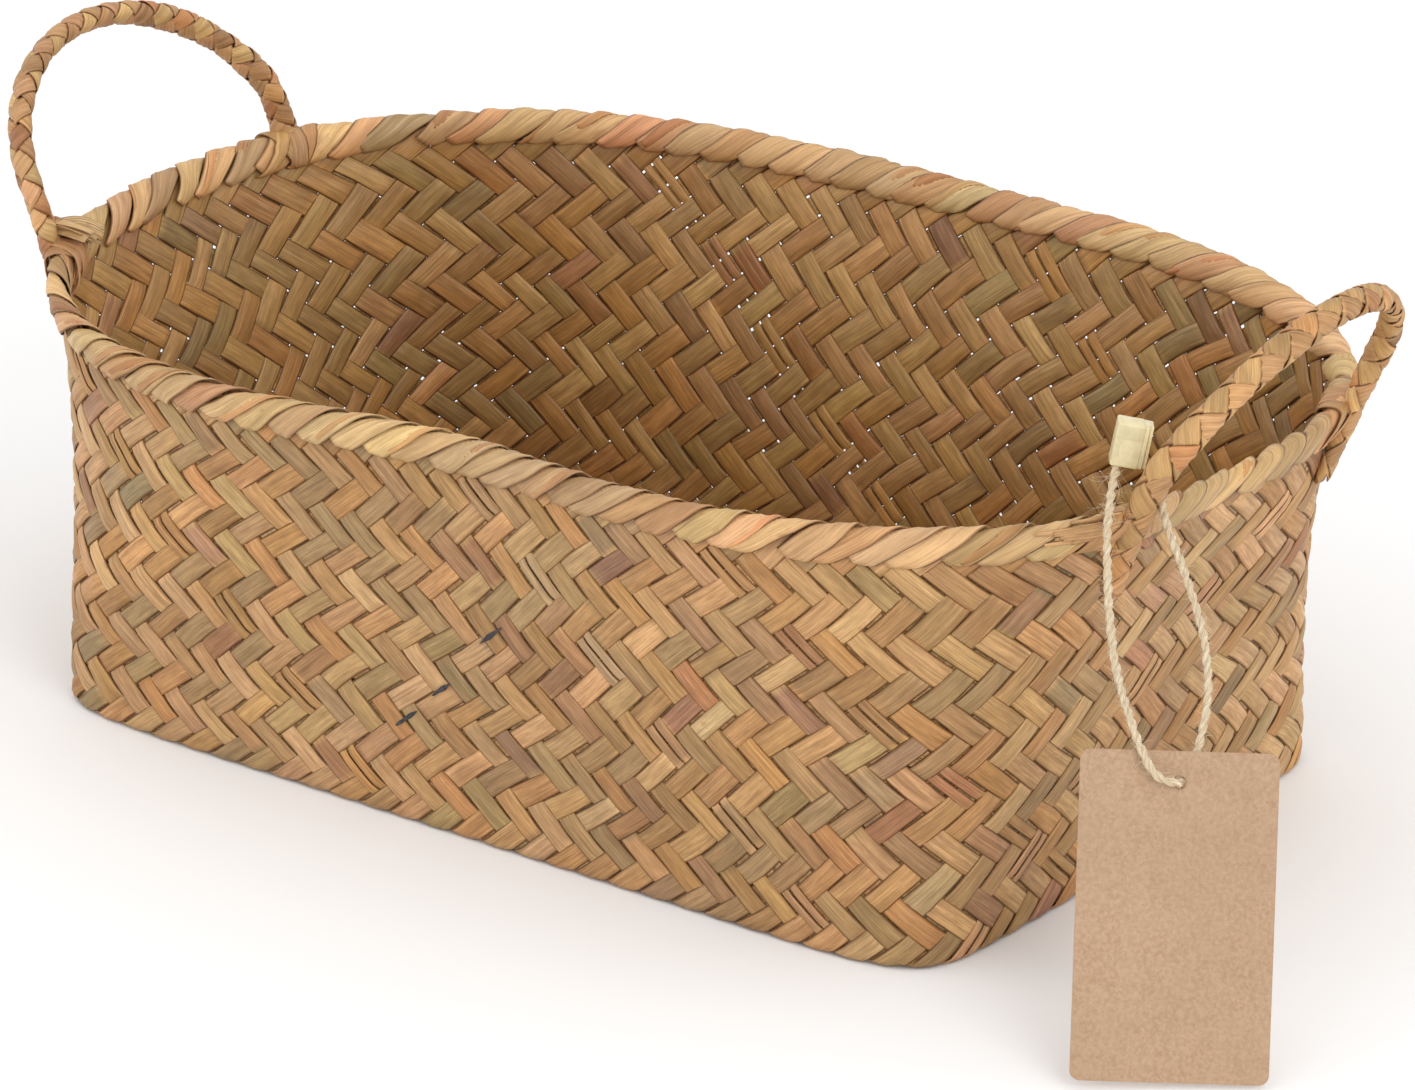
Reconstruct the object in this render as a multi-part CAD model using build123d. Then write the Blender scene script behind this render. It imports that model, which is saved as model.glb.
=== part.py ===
from build123d import *
import math
import os

os.makedirs("parts", exist_ok=True)

# Woven straw bread basket: a rectangular base that rises into an oval rim,
# a folded-over rim band, two braided loop handles lashed to the ends, and a
# blank card tag on a string with a small plastic string seal.
# Units are millimetres. +X runs along the basket, +Y to its back, +Z up.
# z = 0 is the flat underside of the base.

# ---------------------------------------------------------------- dimensions
BASE_L = 301.8          # base, between the middles of its ends
BASE_W = 189.8
BASE_CORNER_N = 10.9
RIM_A = 180.9           # half length of the rim
RIM_B = 111.3           # half width of the rim
RIM_N = 2.59            # superellipse exponent of the rim outline
RIM_H = 118.5           # mean height of the rim's top line
FLARE_P = 2.47         # how late the wall flares outward
ROUND_K = 1.51         # how early the corners round off
BULGE_X = 3.3           # outward belly of the end walls
BULGE_Y = 1.0           # outward belly of the long walls
# handmade unevenness of the rim: cos and sin terms 1..6 of the rim angle
RIM_OUT = [-1.74, 9.38, 3.26, 1.52, -1.53, -2.49, -3.72, 0.01, -0.66, 0.21, 0.38, -2.05]
RIM_UP = [1.37, 4.85, -0.94, -0.93, -1.55, -1.97, -0.05, -0.27, 0.06, -0.94, 0.12, 0.20]

WALL_T = 2.4            # two strips and the gap between them
BASE_T = 2.4
RIM_DROP = 9.5          # height of the rim band
RIM_HALF = 3.6          # half thickness of the rim band

HANDLE_R = 3.6          # radius of the braided loop
LASH_T = 1.8            # thickness of a lashing over the rim band
LASH_TOP = 1.2          # how far a lashing stands above the rim
LASH_HALF_ANGLE = 2.1   # degrees of rim angle each side
TAIL_T = 2.6            # braid end lying on the wall
TAIL_LEN = 14.0

# roots of the loops: the centres of their rounded ends, which are also points
# of the flexing axis of each loop
RIGHT_ROOT_FRONT = (179.0, -41.2, 125.3)
RIGHT_ROOT_BACK = (176.0, 63.1, 123.9)
LEFT_ROOT_FRONT = (-175.6, -55.6, 121.9)
LEFT_ROOT_BACK = (-177.6, 49.4, 122.7)
# arch, lean (radians), skew, fullness, and a slow sway
RIGHT_LOOP = (44.5, 0.523, 10.0, 1.15, 2.0)
LEFT_LOOP = (47.0, 0.548, -7.0, 1.00, 0.0)

TAG_W = 50.0
TAG_H = 83.4
TAG_T = 0.8
TAG_CORNER = 2.5
TAG_HOLE_R = 2.7
TAG_HOLE_DROP = 7.8     # hole centre below the top edge
STRING_R = 1.2

SEAL_W, SEAL_H, SEAL_D = 9.5, 12.0, 6.0

# the model's origin is the middle of the basket's own box, at the base plane
ORIGIN_X = -0.68
ORIGIN_Y = 9.04


# ---------------------------------------------------------------- wall surface
def surf(deg, s, inset=0.0):
    """Outer surface of the wall at rim angle deg and height fraction s."""
    t = math.radians(deg)
    c, q = math.cos(t), math.sin(t)
    w, g = s ** FLARE_P, s ** ROUND_K
    a = BASE_L / 2 + (RIM_A - BASE_L / 2) * w - inset
    b = BASE_W / 2 + (RIM_B - BASE_W / 2) * w - inset
    n = 1.0 / ((1 - g) / BASE_CORNER_N + g / RIM_N)
    r = (abs(c) ** n + abs(q) ** n) ** (-1.0 / n)
    dr = sum(RIM_OUT[2 * i] * math.cos((i + 1) * t) + RIM_OUT[2 * i + 1] * math.sin((i + 1) * t) for i in range(6))
    dh = sum(RIM_UP[2 * i] * math.cos((i + 1) * t) + RIM_UP[2 * i + 1] * math.sin((i + 1) * t) for i in range(6))
    x, y = a * r * c, b * r * q
    m = 1 + dr * w / math.hypot(x, y)
    belly = math.sin(math.pi * s)
    return (x * m + BULGE_X * belly * c * r, y * m + BULGE_Y * belly * q * r, s * (RIM_H + dh))


def rim_height(deg):
    return surf(deg, 1.0)[2]


def top_fraction(deg):
    return 1.0 - (RIM_DROP + 0.2) / rim_height(deg)


def shift(p):
    return Vector(p[0] - ORIGIN_X, p[1] - ORIGIN_Y, p[2])


def outward(deg):
    a, b = surf(deg - 0.5, 1.0), surf(deg + 0.5, 1.0)
    tx, ty = b[0] - a[0], b[1] - a[1]
    k = math.hypot(tx, ty)
    return (ty / k, -tx / k)


def clustered(a, b, n):
    """Angles from a to b, closer together near both ends."""
    out = []
    for i in range(n):
        u = i / (n - 1)
        e = 0.5 - 0.5 * math.cos(math.pi * u)
        out.append(a + (b - a) * (0.35 * u + 0.65 * e))
    return out


nodes = {}


# ---------------------------------------------------------------- walls
def flat_to(pts, p, q):
    """Points moved sideways onto the upright plane through p and q."""
    k = math.hypot(q[0] - p[0], q[1] - p[1])
    n = ((q[1] - p[1]) / k, -(q[0] - p[0]) / k)
    out = []
    for v in pts:
        d = (v[0] - p[0]) * n[0] + (v[1] - p[1]) * n[1]
        out.append((v[0] - d * n[0], v[1] - d * n[1], v[2]))
    return out


def wall_slice(deg):
    """Section of the wall at one rim angle, flattened into an upright plane."""
    fr = [0.0, 0.14, 0.30, 0.46, 0.62, 0.78, 0.90, 1.0]
    outer = [surf(deg, f * top_fraction(deg)) for f in fr]
    inner = [surf(deg, f * top_fraction(deg), WALL_T) for f in fr]
    p = inner[0]
    outer, inner = flat_to(outer, p, outer[-1]), flat_to(inner, p, outer[-1])
    outer, inner = [shift(v) for v in outer], [shift(v) for v in inner]
    return Wire([Spline(*outer).edge(), Line(outer[-1], inner[-1]).edge(), Spline(*inner[::-1]).edge(), Line(inner[0], outer[0]).edge()])


def wall_panel(a, b):
    return Solid.make_loft([wall_slice(d) for d in clustered(a, b, 17)], False)


nodes["wall_right"] = wall_panel(-45, 45)
nodes["wall_back"] = wall_panel(45, 135)
nodes["wall_left"] = wall_panel(135, 225)
nodes["wall_front"] = wall_panel(225, 315)

# ---------------------------------------------------------------- base
base_edges = []
for a in (-45, 45, 135, 225):
    pts = [shift(surf(d, 0.0, WALL_T + 0.45)) for d in clustered(a, a + 90, 15)]
    base_edges.append(Spline(*pts).edge())
nodes["base_mat"] = Solid.extrude(Face(Wire(base_edges)), Vector(0, 0, BASE_T))


# ---------------------------------------------------------------- rim band
def rim_section(deg, half, drop, rise, inboard=0.6):
    """Eight-sided section of the rim band, in the plane across the rim."""
    p = surf(deg, 1.0)
    nx, ny = outward(deg)
    cx, cy = p[0] - inboard * nx, p[1] - inboard * ny
    z1, z0 = p[2] + rise, p[2] - drop

    def slant(z):
        q = surf(deg, min(1.0, z / p[2]))
        return (q[0] - p[0]) * nx + (q[1] - p[1]) * ny

    h = z1 - z0
    prof = [(-0.62 * half, z0), (0.62 * half, z0), (half, z0 + 0.28 * h), (half, z0 + 0.70 * h),
            (0.55 * half, z1), (-0.55 * half, z1), (-half, z0 + 0.70 * h), (-half, z0 + 0.28 * h)]
    prof = [(u + slant(z), z) for u, z in prof]
    pts = [shift((cx + nx * u, cy + ny * u, z)) for u, z in prof]
    return Wire.make_polygon(pts, close=True)


def rim_band(a, b, n=11):
    return Solid.make_loft([rim_section(a + (b - a) * i / (n - 1), RIM_HALF, RIM_DROP, 0.0) for i in range(n)], False)


nodes["rim_right"] = rim_band(-45, 45)
nodes["rim_back"] = rim_band(45, 135)
nodes["rim_left"] = rim_band(135, 225)
nodes["rim_front"] = rim_band(225, 315)


# ---------------------------------------------------------------- lashings and braid ends
def root_angle(p):
    best = min((math.hypot(surf(d / 10, 1.0)[0] - p[0], surf(d / 10, 1.0)[1] - p[1]), d / 10) for d in range(-900, 2700, 2))
    return best[1]


def lashing(deg, cutters):
    k = LASH_HALF_ANGLE
    blk = Solid.make_loft([rim_section(deg + f * k, RIM_HALF + LASH_T, RIM_DROP + 3.2, LASH_TOP) for f in (-1, -0.33, 0.33, 1)], False)
    out = blk
    for c in cutters:
        out = out - c
    best = max(out.solids(), key=lambda s: s.volume)
    return best


def braid_end(deg):
    """The end of the braid lying on the outside of the wall under the lashing."""
    k = LASH_HALF_ANGLE * 0.62
    degs = [deg - k, deg - k / 2, deg, deg + k / 2, deg + k]
    wires = []
    hh = rim_height(deg)
    z1 = hh - RIM_DROP - 4.1
    for i in range(5):
        z = z1 - TAIL_LEN * i / 4
        a = [shift(surf(d, z / rim_height(d), -0.1)) for d in degs]
        thick = TAIL_T * (1.0, 0.95, 0.85, 0.7, 0.45)[i]
        b = []
        for d, p in zip(degs, a):
            nx, ny = outward(d)
            b.append(Vector(p.X + nx * thick, p.Y + ny * thick, p.Z))
        wires.append(Wire([Spline(*b).edge(), Line(b[-1], a[-1]).edge(), Spline(*a[::-1]).edge(), Line(a[0], b[0]).edge()]))
    return Solid.make_loft(wires, False)


ROOTS = {"right_front": (RIGHT_ROOT_FRONT, "right"), "right_back": (RIGHT_ROOT_BACK, "right"),
         "left_front": (LEFT_ROOT_FRONT, "left"), "left_back": (LEFT_ROOT_BACK, "left")}
for name, (p, side) in ROOTS.items():
    deg = root_angle(p)
    print("root", name, "rim angle", round(deg, 1), "rim top", round(rim_height(deg), 1), "axis", p[2])
    nodes["lashing_" + name] = lashing(deg, [nodes["rim_" + side], nodes["wall_" + side]])
    nodes["braid_end_" + name] = braid_end(deg)


# ---------------------------------------------------------------- handle loops
def loop_points(c0, c1, shape, out_sign, steps):
    arch, lean, skew, full, sway = shape
    v0, v1 = Vector(*c0), Vector(*c1)
    chord = v1 - v0
    c = chord.length
    u = chord.normalized()
    up = Vector(0, 0, 1)
    up = (up - u * up.dot(u)).normalized()
    o = u.cross(up)
    if o.X * out_sign < 0:
        o = o * -1
    d = up * math.cos(lean) + o * math.sin(lean)
    pts = []
    for t in steps:
        t = math.radians(t)
        s = max(math.sin(t), 0.0)
        pts.append(v0 + u * (c / 2 * (1 - math.cos(t)) + skew * s) + d * (arch * s ** full + sway * math.sin(2 * t)))
    return pts


def fillet_radii(pts, least=0.0):
    radii = []
    for i in range(1, len(pts) - 1):
        a, b = pts[i] - pts[i - 1], pts[i + 1] - pts[i]
        turn = math.radians(a.get_angle(b))
        radii.append(max(least, 0.45 * min(a.length, b.length) / math.tan(turn / 2)))
    return radii


def tube(pts, radius):
    radii = fillet_radii(pts)
    path = FilletPolyline(*pts, radius=radii)
    start = path @ 0
    plane = Plane(origin=start, z_dir=path % 0)
    prof = Face(Wire.make_circle(radius, plane))
    body = Solid.sweep(prof, path.wire()) if hasattr(Solid, "sweep") else sweep(prof, path=path)
    return body, path, radii


def loop(c0, c1, shape, sign):
    pts = loop_points(c0, c1, shape, sign, (0, 24, 46, 68, 90, 112, 134, 156, 180))
    pts = [shift((p.X, p.Y, p.Z)) for p in pts]
    body, path, radii = tube(pts, HANDLE_R)
    out = body + Pos(*pts[0]) * Sphere(HANDLE_R) + Pos(*pts[-1]) * Sphere(HANDLE_R)
    print("loop length", round(path.length, 1), "radii", [round(r, 1) for r in radii])
    return out.solids()[0]


nodes["handle_loop_right"] = loop(RIGHT_ROOT_FRONT, RIGHT_ROOT_BACK, RIGHT_LOOP, 1)
nodes["handle_loop_left"] = loop(LEFT_ROOT_FRONT, LEFT_ROOT_BACK, LEFT_LOOP, -1)

# ---------------------------------------------------------------- card tag
TAG_FOOT = Vector(235.4, -105.4, 1.8)          # middle of the bottom edge
TAG_ACROSS = Vector(0.7903, 0.6117, -0.0362)
TAG_UP = Vector(-0.1734, 0.2798, 0.9443)
TAG_FACE = TAG_ACROSS.cross(TAG_UP).normalized()
foot = shift((TAG_FOOT.X, TAG_FOOT.Y, TAG_FOOT.Z))
tag_plane = Plane(origin=foot - TAG_FACE * (TAG_T / 2), x_dir=TAG_ACROSS, z_dir=TAG_FACE)
outline = Pos(0, TAG_H / 2, 0) * RectangleRounded(TAG_W, TAG_H, TAG_CORNER)
outline = outline - Pos(0, TAG_H - TAG_HOLE_DROP, 0) * Circle(TAG_HOLE_R)
nodes["tag_card"] = extrude(tag_plane * outline, TAG_T).solids()[0]
HOLE = TAG_FOOT + TAG_UP * (TAG_H - TAG_HOLE_DROP)


def at_hole(across, face, up):
    return HOLE + TAG_ACROSS * across + TAG_FACE * face + TAG_UP * up


# ---------------------------------------------------------------- string
# short upper length: from the seal over the handle root to the pivot
A0 = Vector(168.2, -36.2, 130.4)
A1 = Vector(174.4, -49.2, 123.6)
A2 = Vector(181.9, -59.5, 111.5)
PIVOT = (A1 + A2) * 0.5
# lower loop: down to the card, through its hole, and back up to the rim
LOOP = [PIVOT, A2, Vector(190.8, -70.0, 99.2), Vector(198.4, -77.5, 92.6), Vector(210.2, -88.0, 86.9),
        Vector(216.2, -90.3, 79.4), at_hole(-5.6, 2.8, 0.9), at_hole(-0.4, 3.1, -0.3), at_hole(0.4, -3.1, 0.2),
        at_hole(3.6, -3.6, 4.6), Vector(221.6, -74.6, 80.0), Vector(218.3, -66.0, 88.3), Vector(211.9, -58.0, 97.4), Vector(203.5, -50.8, 104.7),
        Vector(193.4, -44.0, 112.8), Vector(185.2, -38.4, 118.4), Vector(178.6, -32.2, 121.9)]
UPPER = [A0, A1, PIVOT]
GAP = 1.0               # each length stops this far short of the pivot


def pull_in(a, b, k):
    return a + (b - a).normalized() * k


upper = [UPPER[0], UPPER[1], pull_in(UPPER[2], UPPER[1], GAP)]
lower = [pull_in(LOOP[0], LOOP[1], GAP)] + LOOP[1:]
for name, pts in (("tag_string_upper", upper), ("tag_string_loop", lower)):
    pts = [shift((p.X, p.Y, p.Z)) for p in pts]
    body, path, radii = tube(pts, STRING_R)
    runs = [(pts[i + 1] - pts[i]).length for i in range(len(pts) - 1)]
    print(name, "length", round(path.length, 1), "volume ratio", round(body.volume / (math.pi * STRING_R ** 2 * path.length), 4),
          "lowest z", round(body.bounding_box().min.Z, 2))
    print("  runs", [round(r, 1) for r in runs])
    print("  radii", [round(r, 1) for r in radii])
    print("  turns", [round((pts[i] - pts[i - 1]).get_angle(pts[i + 1] - pts[i])) for i in range(1, len(pts) - 1)])
    nodes[name] = body.solids()[0]

# ---------------------------------------------------------------- string seal
lean = math.radians(11.0)
seal_across = Vector(0.7906 * math.cos(lean), 0.6124 * math.cos(lean), -math.sin(lean))
seal_up = Vector(0.7906 * math.sin(lean), 0.6124 * math.sin(lean), math.cos(lean))
seal_face = seal_across.cross(seal_up).normalized()
seal_foot = A0 + seal_across * 2.4 - seal_up * 0.02
sf = shift((seal_foot.X, seal_foot.Y, seal_foot.Z))
seal_plane = Plane(origin=sf, x_dir=seal_across, z_dir=seal_up)
block = extrude(seal_plane * RectangleRounded(SEAL_W, SEAL_D, 1.0), SEAL_H)
slot_plane = Plane(origin=sf + seal_up * 5.0 + seal_across * 2.2, x_dir=seal_across, z_dir=seal_up)
slot = extrude(slot_plane * Rectangle(2.4, 3.6), SEAL_H)
nodes["seal_body"] = (block - slot).solids()[0]
insert_plane = Plane(origin=sf + seal_up * 5.0 + seal_across * 2.2, x_dir=seal_across, z_dir=seal_up)
nodes["seal_insert"] = extrude(insert_plane * Rectangle(2.3, 3.5), SEAL_H - 5.0 + 0.5).solids()[0]
# trim the string flush with the seal's underside
nodes["tag_string_upper"] = (nodes["tag_string_upper"] - nodes["seal_body"]).solids()[0]

# ---------------------------------------------------------------- write
lo = [1e9] * 3
hi = [-1e9] * 3
for name, s in nodes.items():
    bb = s.bounding_box()
    if not name.startswith(("tag_", "seal_")):
        for i, (m, M) in enumerate(((bb.min.X, bb.max.X), (bb.min.Y, bb.max.Y), (bb.min.Z, bb.max.Z))):
            lo[i] = min(lo[i], m)
            hi[i] = max(hi[i], M)
    export_step(s, "parts/" + name + ".step")
print("own box", [round(v, 2) for v in lo], [round(v, 2) for v in hi])
print("box middle in x, y", round((lo[0] + hi[0]) / 2 + ORIGIN_X, 3), round((lo[1] + hi[1]) / 2 + ORIGIN_Y, 3))
print("nodes", len(nodes))
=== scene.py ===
import bpy
import numpy as np
from math import sin, cos, pi, radians, hypot, sqrt, atan2, degrees
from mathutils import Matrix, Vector


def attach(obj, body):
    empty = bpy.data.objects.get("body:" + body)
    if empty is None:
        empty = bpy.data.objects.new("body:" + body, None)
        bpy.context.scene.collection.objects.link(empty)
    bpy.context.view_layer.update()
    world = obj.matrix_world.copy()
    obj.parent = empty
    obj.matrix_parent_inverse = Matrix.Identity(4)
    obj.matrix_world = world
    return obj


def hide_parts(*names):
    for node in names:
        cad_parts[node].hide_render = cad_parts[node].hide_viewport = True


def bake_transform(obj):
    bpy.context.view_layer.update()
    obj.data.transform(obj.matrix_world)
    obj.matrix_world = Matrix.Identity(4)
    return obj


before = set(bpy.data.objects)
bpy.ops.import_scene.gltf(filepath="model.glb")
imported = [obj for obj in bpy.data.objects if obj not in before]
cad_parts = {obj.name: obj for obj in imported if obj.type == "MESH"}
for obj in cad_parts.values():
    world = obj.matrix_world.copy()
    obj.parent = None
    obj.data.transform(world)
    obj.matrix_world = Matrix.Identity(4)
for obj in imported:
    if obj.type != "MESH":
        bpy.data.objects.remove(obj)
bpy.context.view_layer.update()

RNG = np.random.default_rng(7)
OX, OY = 0.68, -9.04        # the part's own shift, millimetres
MM = 0.001

# ---------------------------------------------------------------- the basket's outer surface, as in the part
BASE_L, BASE_W, BASE_CORNER_N = 301.8, 189.8, 10.9
RIM_A, RIM_B, RIM_N, RIM_H = 180.9, 111.3, 2.59, 118.5
FLARE_P, ROUND_K, BULGE_X, BULGE_Y = 2.47, 1.51, 3.3, 1.0
RIM_OUT = [-1.74, 9.38, 3.26, 1.52, -1.53, -2.49, -3.72, 0.01, -0.66, 0.21, 0.38, -2.05]
RIM_UP = [1.37, 4.85, -0.94, -0.93, -1.55, -1.97, -0.05, -0.27, 0.06, -0.94, 0.12, 0.20]


def wave(co, t):
    return sum(co[2*i]*np.cos((i+1)*t) + co[2*i+1]*np.sin((i+1)*t) for i in range(6))


def surf(t, s, inset=0.0):
    """Outer wall surface, t in radians, s from 0 at the base to 1 at the rim. Returns (...,3) in mm."""
    t, s, inset = np.broadcast_arrays(np.asarray(t, float), np.asarray(s, float), np.asarray(inset, float))
    s = np.clip(s, 1e-6, 1.3)
    c, q = np.cos(t), np.sin(t)
    w, g = s**FLARE_P, np.clip(s, 0, 1)**ROUND_K
    a = BASE_L/2 + (RIM_A-BASE_L/2)*w - inset
    b = BASE_W/2 + (RIM_B-BASE_W/2)*w - inset
    n = 1/((1-g)/BASE_CORNER_N + g/RIM_N)
    m_ = np.maximum(np.abs(c), np.abs(q))
    r = ((np.abs(c)/m_)**n + (np.abs(q)/m_)**n)**(-1/n)/m_
    x, y = a*r*c, b*r*q
    m = 1 + wave(RIM_OUT, t)*w/np.hypot(x, y)
    belly = np.sin(pi*np.clip(s, 0, 1))
    return np.stack([x*m + BULGE_X*belly*c*r, y*m + BULGE_Y*belly*q*r, s*(RIM_H + wave(RIM_UP, t))], -1)


# ---------------------------------------------------------------- round-the-wall coordinate U (0..88) to rim angle
NU, NV, UB, VB = 88, 13, 27, 17
CORNERS = [0, 27, 44, 71, 88]
CORNER_T = [radians(a) for a in (225, 315, 405, 495, 585)]
S_GRID = np.linspace(0, 1.1, 23)
U_GRID = np.linspace(0, 88, 88*4+1)
TU = np.zeros((len(S_GRID), len(U_GRID)))
for si, s_ in enumerate(S_GRID):
    for k in range(4):
        ts = np.linspace(CORNER_T[k], CORNER_T[k+1], 241)
        P = surf(ts, s_)
        L = np.concatenate([[0], np.cumsum(np.linalg.norm(np.diff(P, axis=0), axis=1))])
        sel = (U_GRID >= CORNERS[k]-1e-9) & (U_GRID <= CORNERS[k+1]+1e-9)
        f = (U_GRID[sel]-CORNERS[k])/(CORNERS[k+1]-CORNERS[k])
        TU[si, sel] = np.interp(f*L[-1], L, ts)


def t_of(U, s):
    U = np.mod(U, 88.0)
    s = np.clip(s, 0, 1.0999)
    fi = s/1.1*(len(S_GRID)-1)
    i = np.clip(fi.astype(int), 0, len(S_GRID)-2)
    fj = U*4
    j = np.clip(fj.astype(int), 0, len(U_GRID)-2)
    a, b = fi-i, fj-j
    return (TU[i, j]*(1-a)*(1-b) + TU[i+1, j]*a*(1-b) + TU[i, j+1]*(1-a)*b + TU[i+1, j+1]*a*b)


UNIT_X, UNIT_Y, UNIT_V, FIL = BASE_L/UB, BASE_W/VB, 9.1, 1.2
HB, WB = UB/2, VB/2


def wall_pos(U, V, off):
    s = V/NV
    t = t_of(U, s)
    H = RIM_H + wave(RIM_UP, t)
    sig = V*UNIT_V
    q = .785*FIL
    phi = np.clip((sig+q)/FIL, 0, pi/2)
    round_ = sig < q
    z_round = FIL - (FIL+off)*np.cos(phi)
    in_round = FIL - (FIL+off)*np.sin(phi)
    z_flat = s*H + .215*FIL*(1-s)
    z_at = np.where(round_, z_round, z_flat)
    inset = np.where(round_, in_round, -off)
    P = surf(t, np.maximum(z_at, 0)/H, inset)
    P[..., 2] = z_at
    return P


def edge_fix(x, y):
    """How far the rounded base outline lies from the plain rectangle at the nearest side."""
    ex, ey = np.abs(x)-HB, np.abs(y)-WB
    sx = ex > ey
    U = np.where(sx, np.where(x > 0, y+35.5, 79.5-y), np.where(y < 0, x+13.5, 57.5-x))
    rx = np.where(sx, np.sign(x)*HB, x)*UNIT_X
    ry = np.where(sx, y, np.sign(y)*WB)*UNIT_Y
    P = surf(t_of(U, np.zeros_like(U)), 0.0)
    return P[..., 0]-rx, P[..., 1]-ry


def base_pos(x, y, off):
    dx = np.maximum((HB-np.abs(x))*UNIT_X, 0)
    dy = np.maximum((WB-np.abs(y))*UNIT_Y, 0)
    d = np.minimum(dx, dy)
    q = .785*FIL

    def inset_of(dd):
        phi = np.clip((q-dd)/FIL, 0, pi/2)
        ins = FIL - (FIL+off)*np.sin(phi)
        return np.where(dd < q, ins-dd, .215*FIL*np.exp(-(dd-q)/12.0))
    cx, cy = edge_fix(x, y)
    fade = np.exp(-d/24.0)
    X = x*UNIT_X + cx*fade - np.sign(x)*inset_of(dx)
    Y = y*UNIT_Y + cy*fade - np.sign(y)*inset_of(dy)
    phi = np.clip((q-d)/FIL, 0, pi/2)
    z = np.where(d < q, FIL - (FIL+off)*np.cos(phi), -off)
    return np.stack([X, Y, z], -1)


def place(mode, a, b, off, side):
    """Chart coordinates to a point. mode 0 is the wall (U, V), mode 1 the base (x, y)."""
    U, V, x, y = a.copy(), b.copy(), a.copy(), b.copy()
    base = mode == 1
    low = (~base) & (V < 0)
    if low.any():
        mid = np.array([13.5, 35.5, 57.5, 79.5])[side]
        Uu = np.mod(U-mid+44, 88)-44+mid
        bx = np.select([side == 0, side == 1, side == 2, side == 3], [Uu-13.5, 13.5+V, 57.5-Uu, -13.5-V])
        by = np.select([side == 0, side == 1, side == 2, side == 3], [-8.5-V, Uu-35.5, 8.5+V, 79.5-Uu])
        x = np.where(low, bx, x)
        y = np.where(low, by, y)
        base = base | low
    ex, ey = np.abs(x)-HB, np.abs(y)-WB
    out = base & ((ex > 0) | (ey > 0))
    if out.any():
        sx = ex > ey
        Uo = np.where(sx, np.where(x > 0, y+35.5, 79.5-y), np.where(y < 0, x+13.5, 57.5-x))
        U = np.where(out, Uo, U)
        V = np.where(out, np.where(sx, ex, ey), V)
        base = base & ~out
    V = np.maximum(V, 0)
    k = 2*pi/88
    lift = np.clip(V/2, 0, 1)*np.clip((13-V)/2, 0, 1)
    U = U + lift*(.10*np.sin(5*k*U+.5*V) + .06*np.sin(13*k*U-.8*V+1))
    V = V + lift*(.10*np.sin(6*k*U+.6*V+.5) + .06*np.sin(15*k*U-.7*V))
    pw = wall_pos(np.where(base, 0, U), np.where(base, 0, V), off)
    pb = base_pos(np.where(base, x, 0), np.where(base, y, 0), off)
    return np.where(base[..., None], pb, pw)


# ---------------------------------------------------------------- tracing the plaiting strips
PH = 0
SIDE_MID = [13.5, 35.5, 57.5, 79.5]


def side_of(U):
    U = U % 88
    return 0 if U < 27 else 1 if U < 44 else 2 if U < 71 else 3


def out_a(k):
    return ((k+PH) % 4) in (0, 1)


def trace(kind, idx):
    """Stations along one strip from rim to rim: (mode, a, b, da, db, across a, across b, outside, side) at each crossing."""
    seg = []
    for k in range(26, -1, -1):
        V = k/2
        U = idx+.5+V if kind == "A" else idx+.5-V
        st = out_a(k) if kind == "A" else not out_a(k)
        seg.append([0, U, V, st, side_of(U)])
    U0 = idx+.5
    sd = side_of(U0)
    dU, dV = (-.5, -.5) if kind == "A" else (.5, -.5)
    x, y = {0: (U0-13.5, -8.5), 1: (13.5, U0-35.5), 2: (57.5-U0, 8.5), 3: (-13.5, 79.5-U0)}[sd]
    dx, dy = {0: (dU, -dV), 1: (dV, dU), 2: (-dU, dV), 3: (-dV, -dU)}[sd]
    base = [[1, x, y, None, sd]]
    while True:
        x, y = x+dx, y+dy
        k = int(round(-17-2*y))
        fam_p = dx*dy < 0
        st = out_a(k) if fam_p else not out_a(k)
        base.append([1, x, y, st, sd])
        if abs(x) >= 13.5-1e-6 or abs(y) >= 8.5-1e-6:
            break
    ex = 1 if x >= 13.5-1e-6 else 3 if x <= -13.5+1e-6 else 0 if y <= -8.5+1e-6 else 2
    U1 = {0: x+13.5, 1: y+35.5, 2: 57.5-x, 3: 79.5-y}[ex]
    eU, eV = {0: (dx, -dy), 1: (dy, dx), 2: (-dx, dy), 3: (-dy, -dx)}[ex]
    kind2 = "A" if eU*eV > 0 else "B"
    up = []
    for k in range(0, 27):
        V = k/2
        st = out_a(k) if kind2 == "A" else not out_a(k)
        up.append([0, U1+eU*2*V*1.0, V, st, side_of(U1+eU*2*V)])
    base[0][3] = seg[-1][3]
    base[-1][3] = up[0][3]
    return seg, base, up, (kind2, int(round(U1-.5)) % 88)


def smooth_noise(n, step, amp):
    m = max(3, int(n/step)+3)
    v = RNG.normal(0, amp, m)
    x = np.linspace(0, m-1.001, n)
    i = x.astype(int)
    f = x-i
    f = f*f*(3-2*f)
    return v[i]*(1-f) + v[np.minimum(i+1, m-1)]*f


SUB = 4
CP = np.array([-1, -.74, 0, .74, 1, .74, 0, -.74])
EP = np.array([0, .85, 1.0, .85, 0, -.85, -1.0, -.85])

PALETTE = np.array([[.47, .255, .098], [.50, .285, .118], [.44, .232, .084], [.41, .245, .098], [.38, .235, .098],
                    [.54, .325, .145], [.42, .220, .100], [.47, .235, .078], [.36, .205, .090], [.49, .275, .122]])
PAL_W = np.array([.20, .16, .14, .10, .10, .07, .08, .07, .04, .04])


def strip_tint():
    c = PALETTE[RNG.choice(len(PALETTE), p=PAL_W/PAL_W.sum())].copy()
    return c*(1+RNG.normal(0, .02, 3))*(1+RNG.normal(0, .06))


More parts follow.
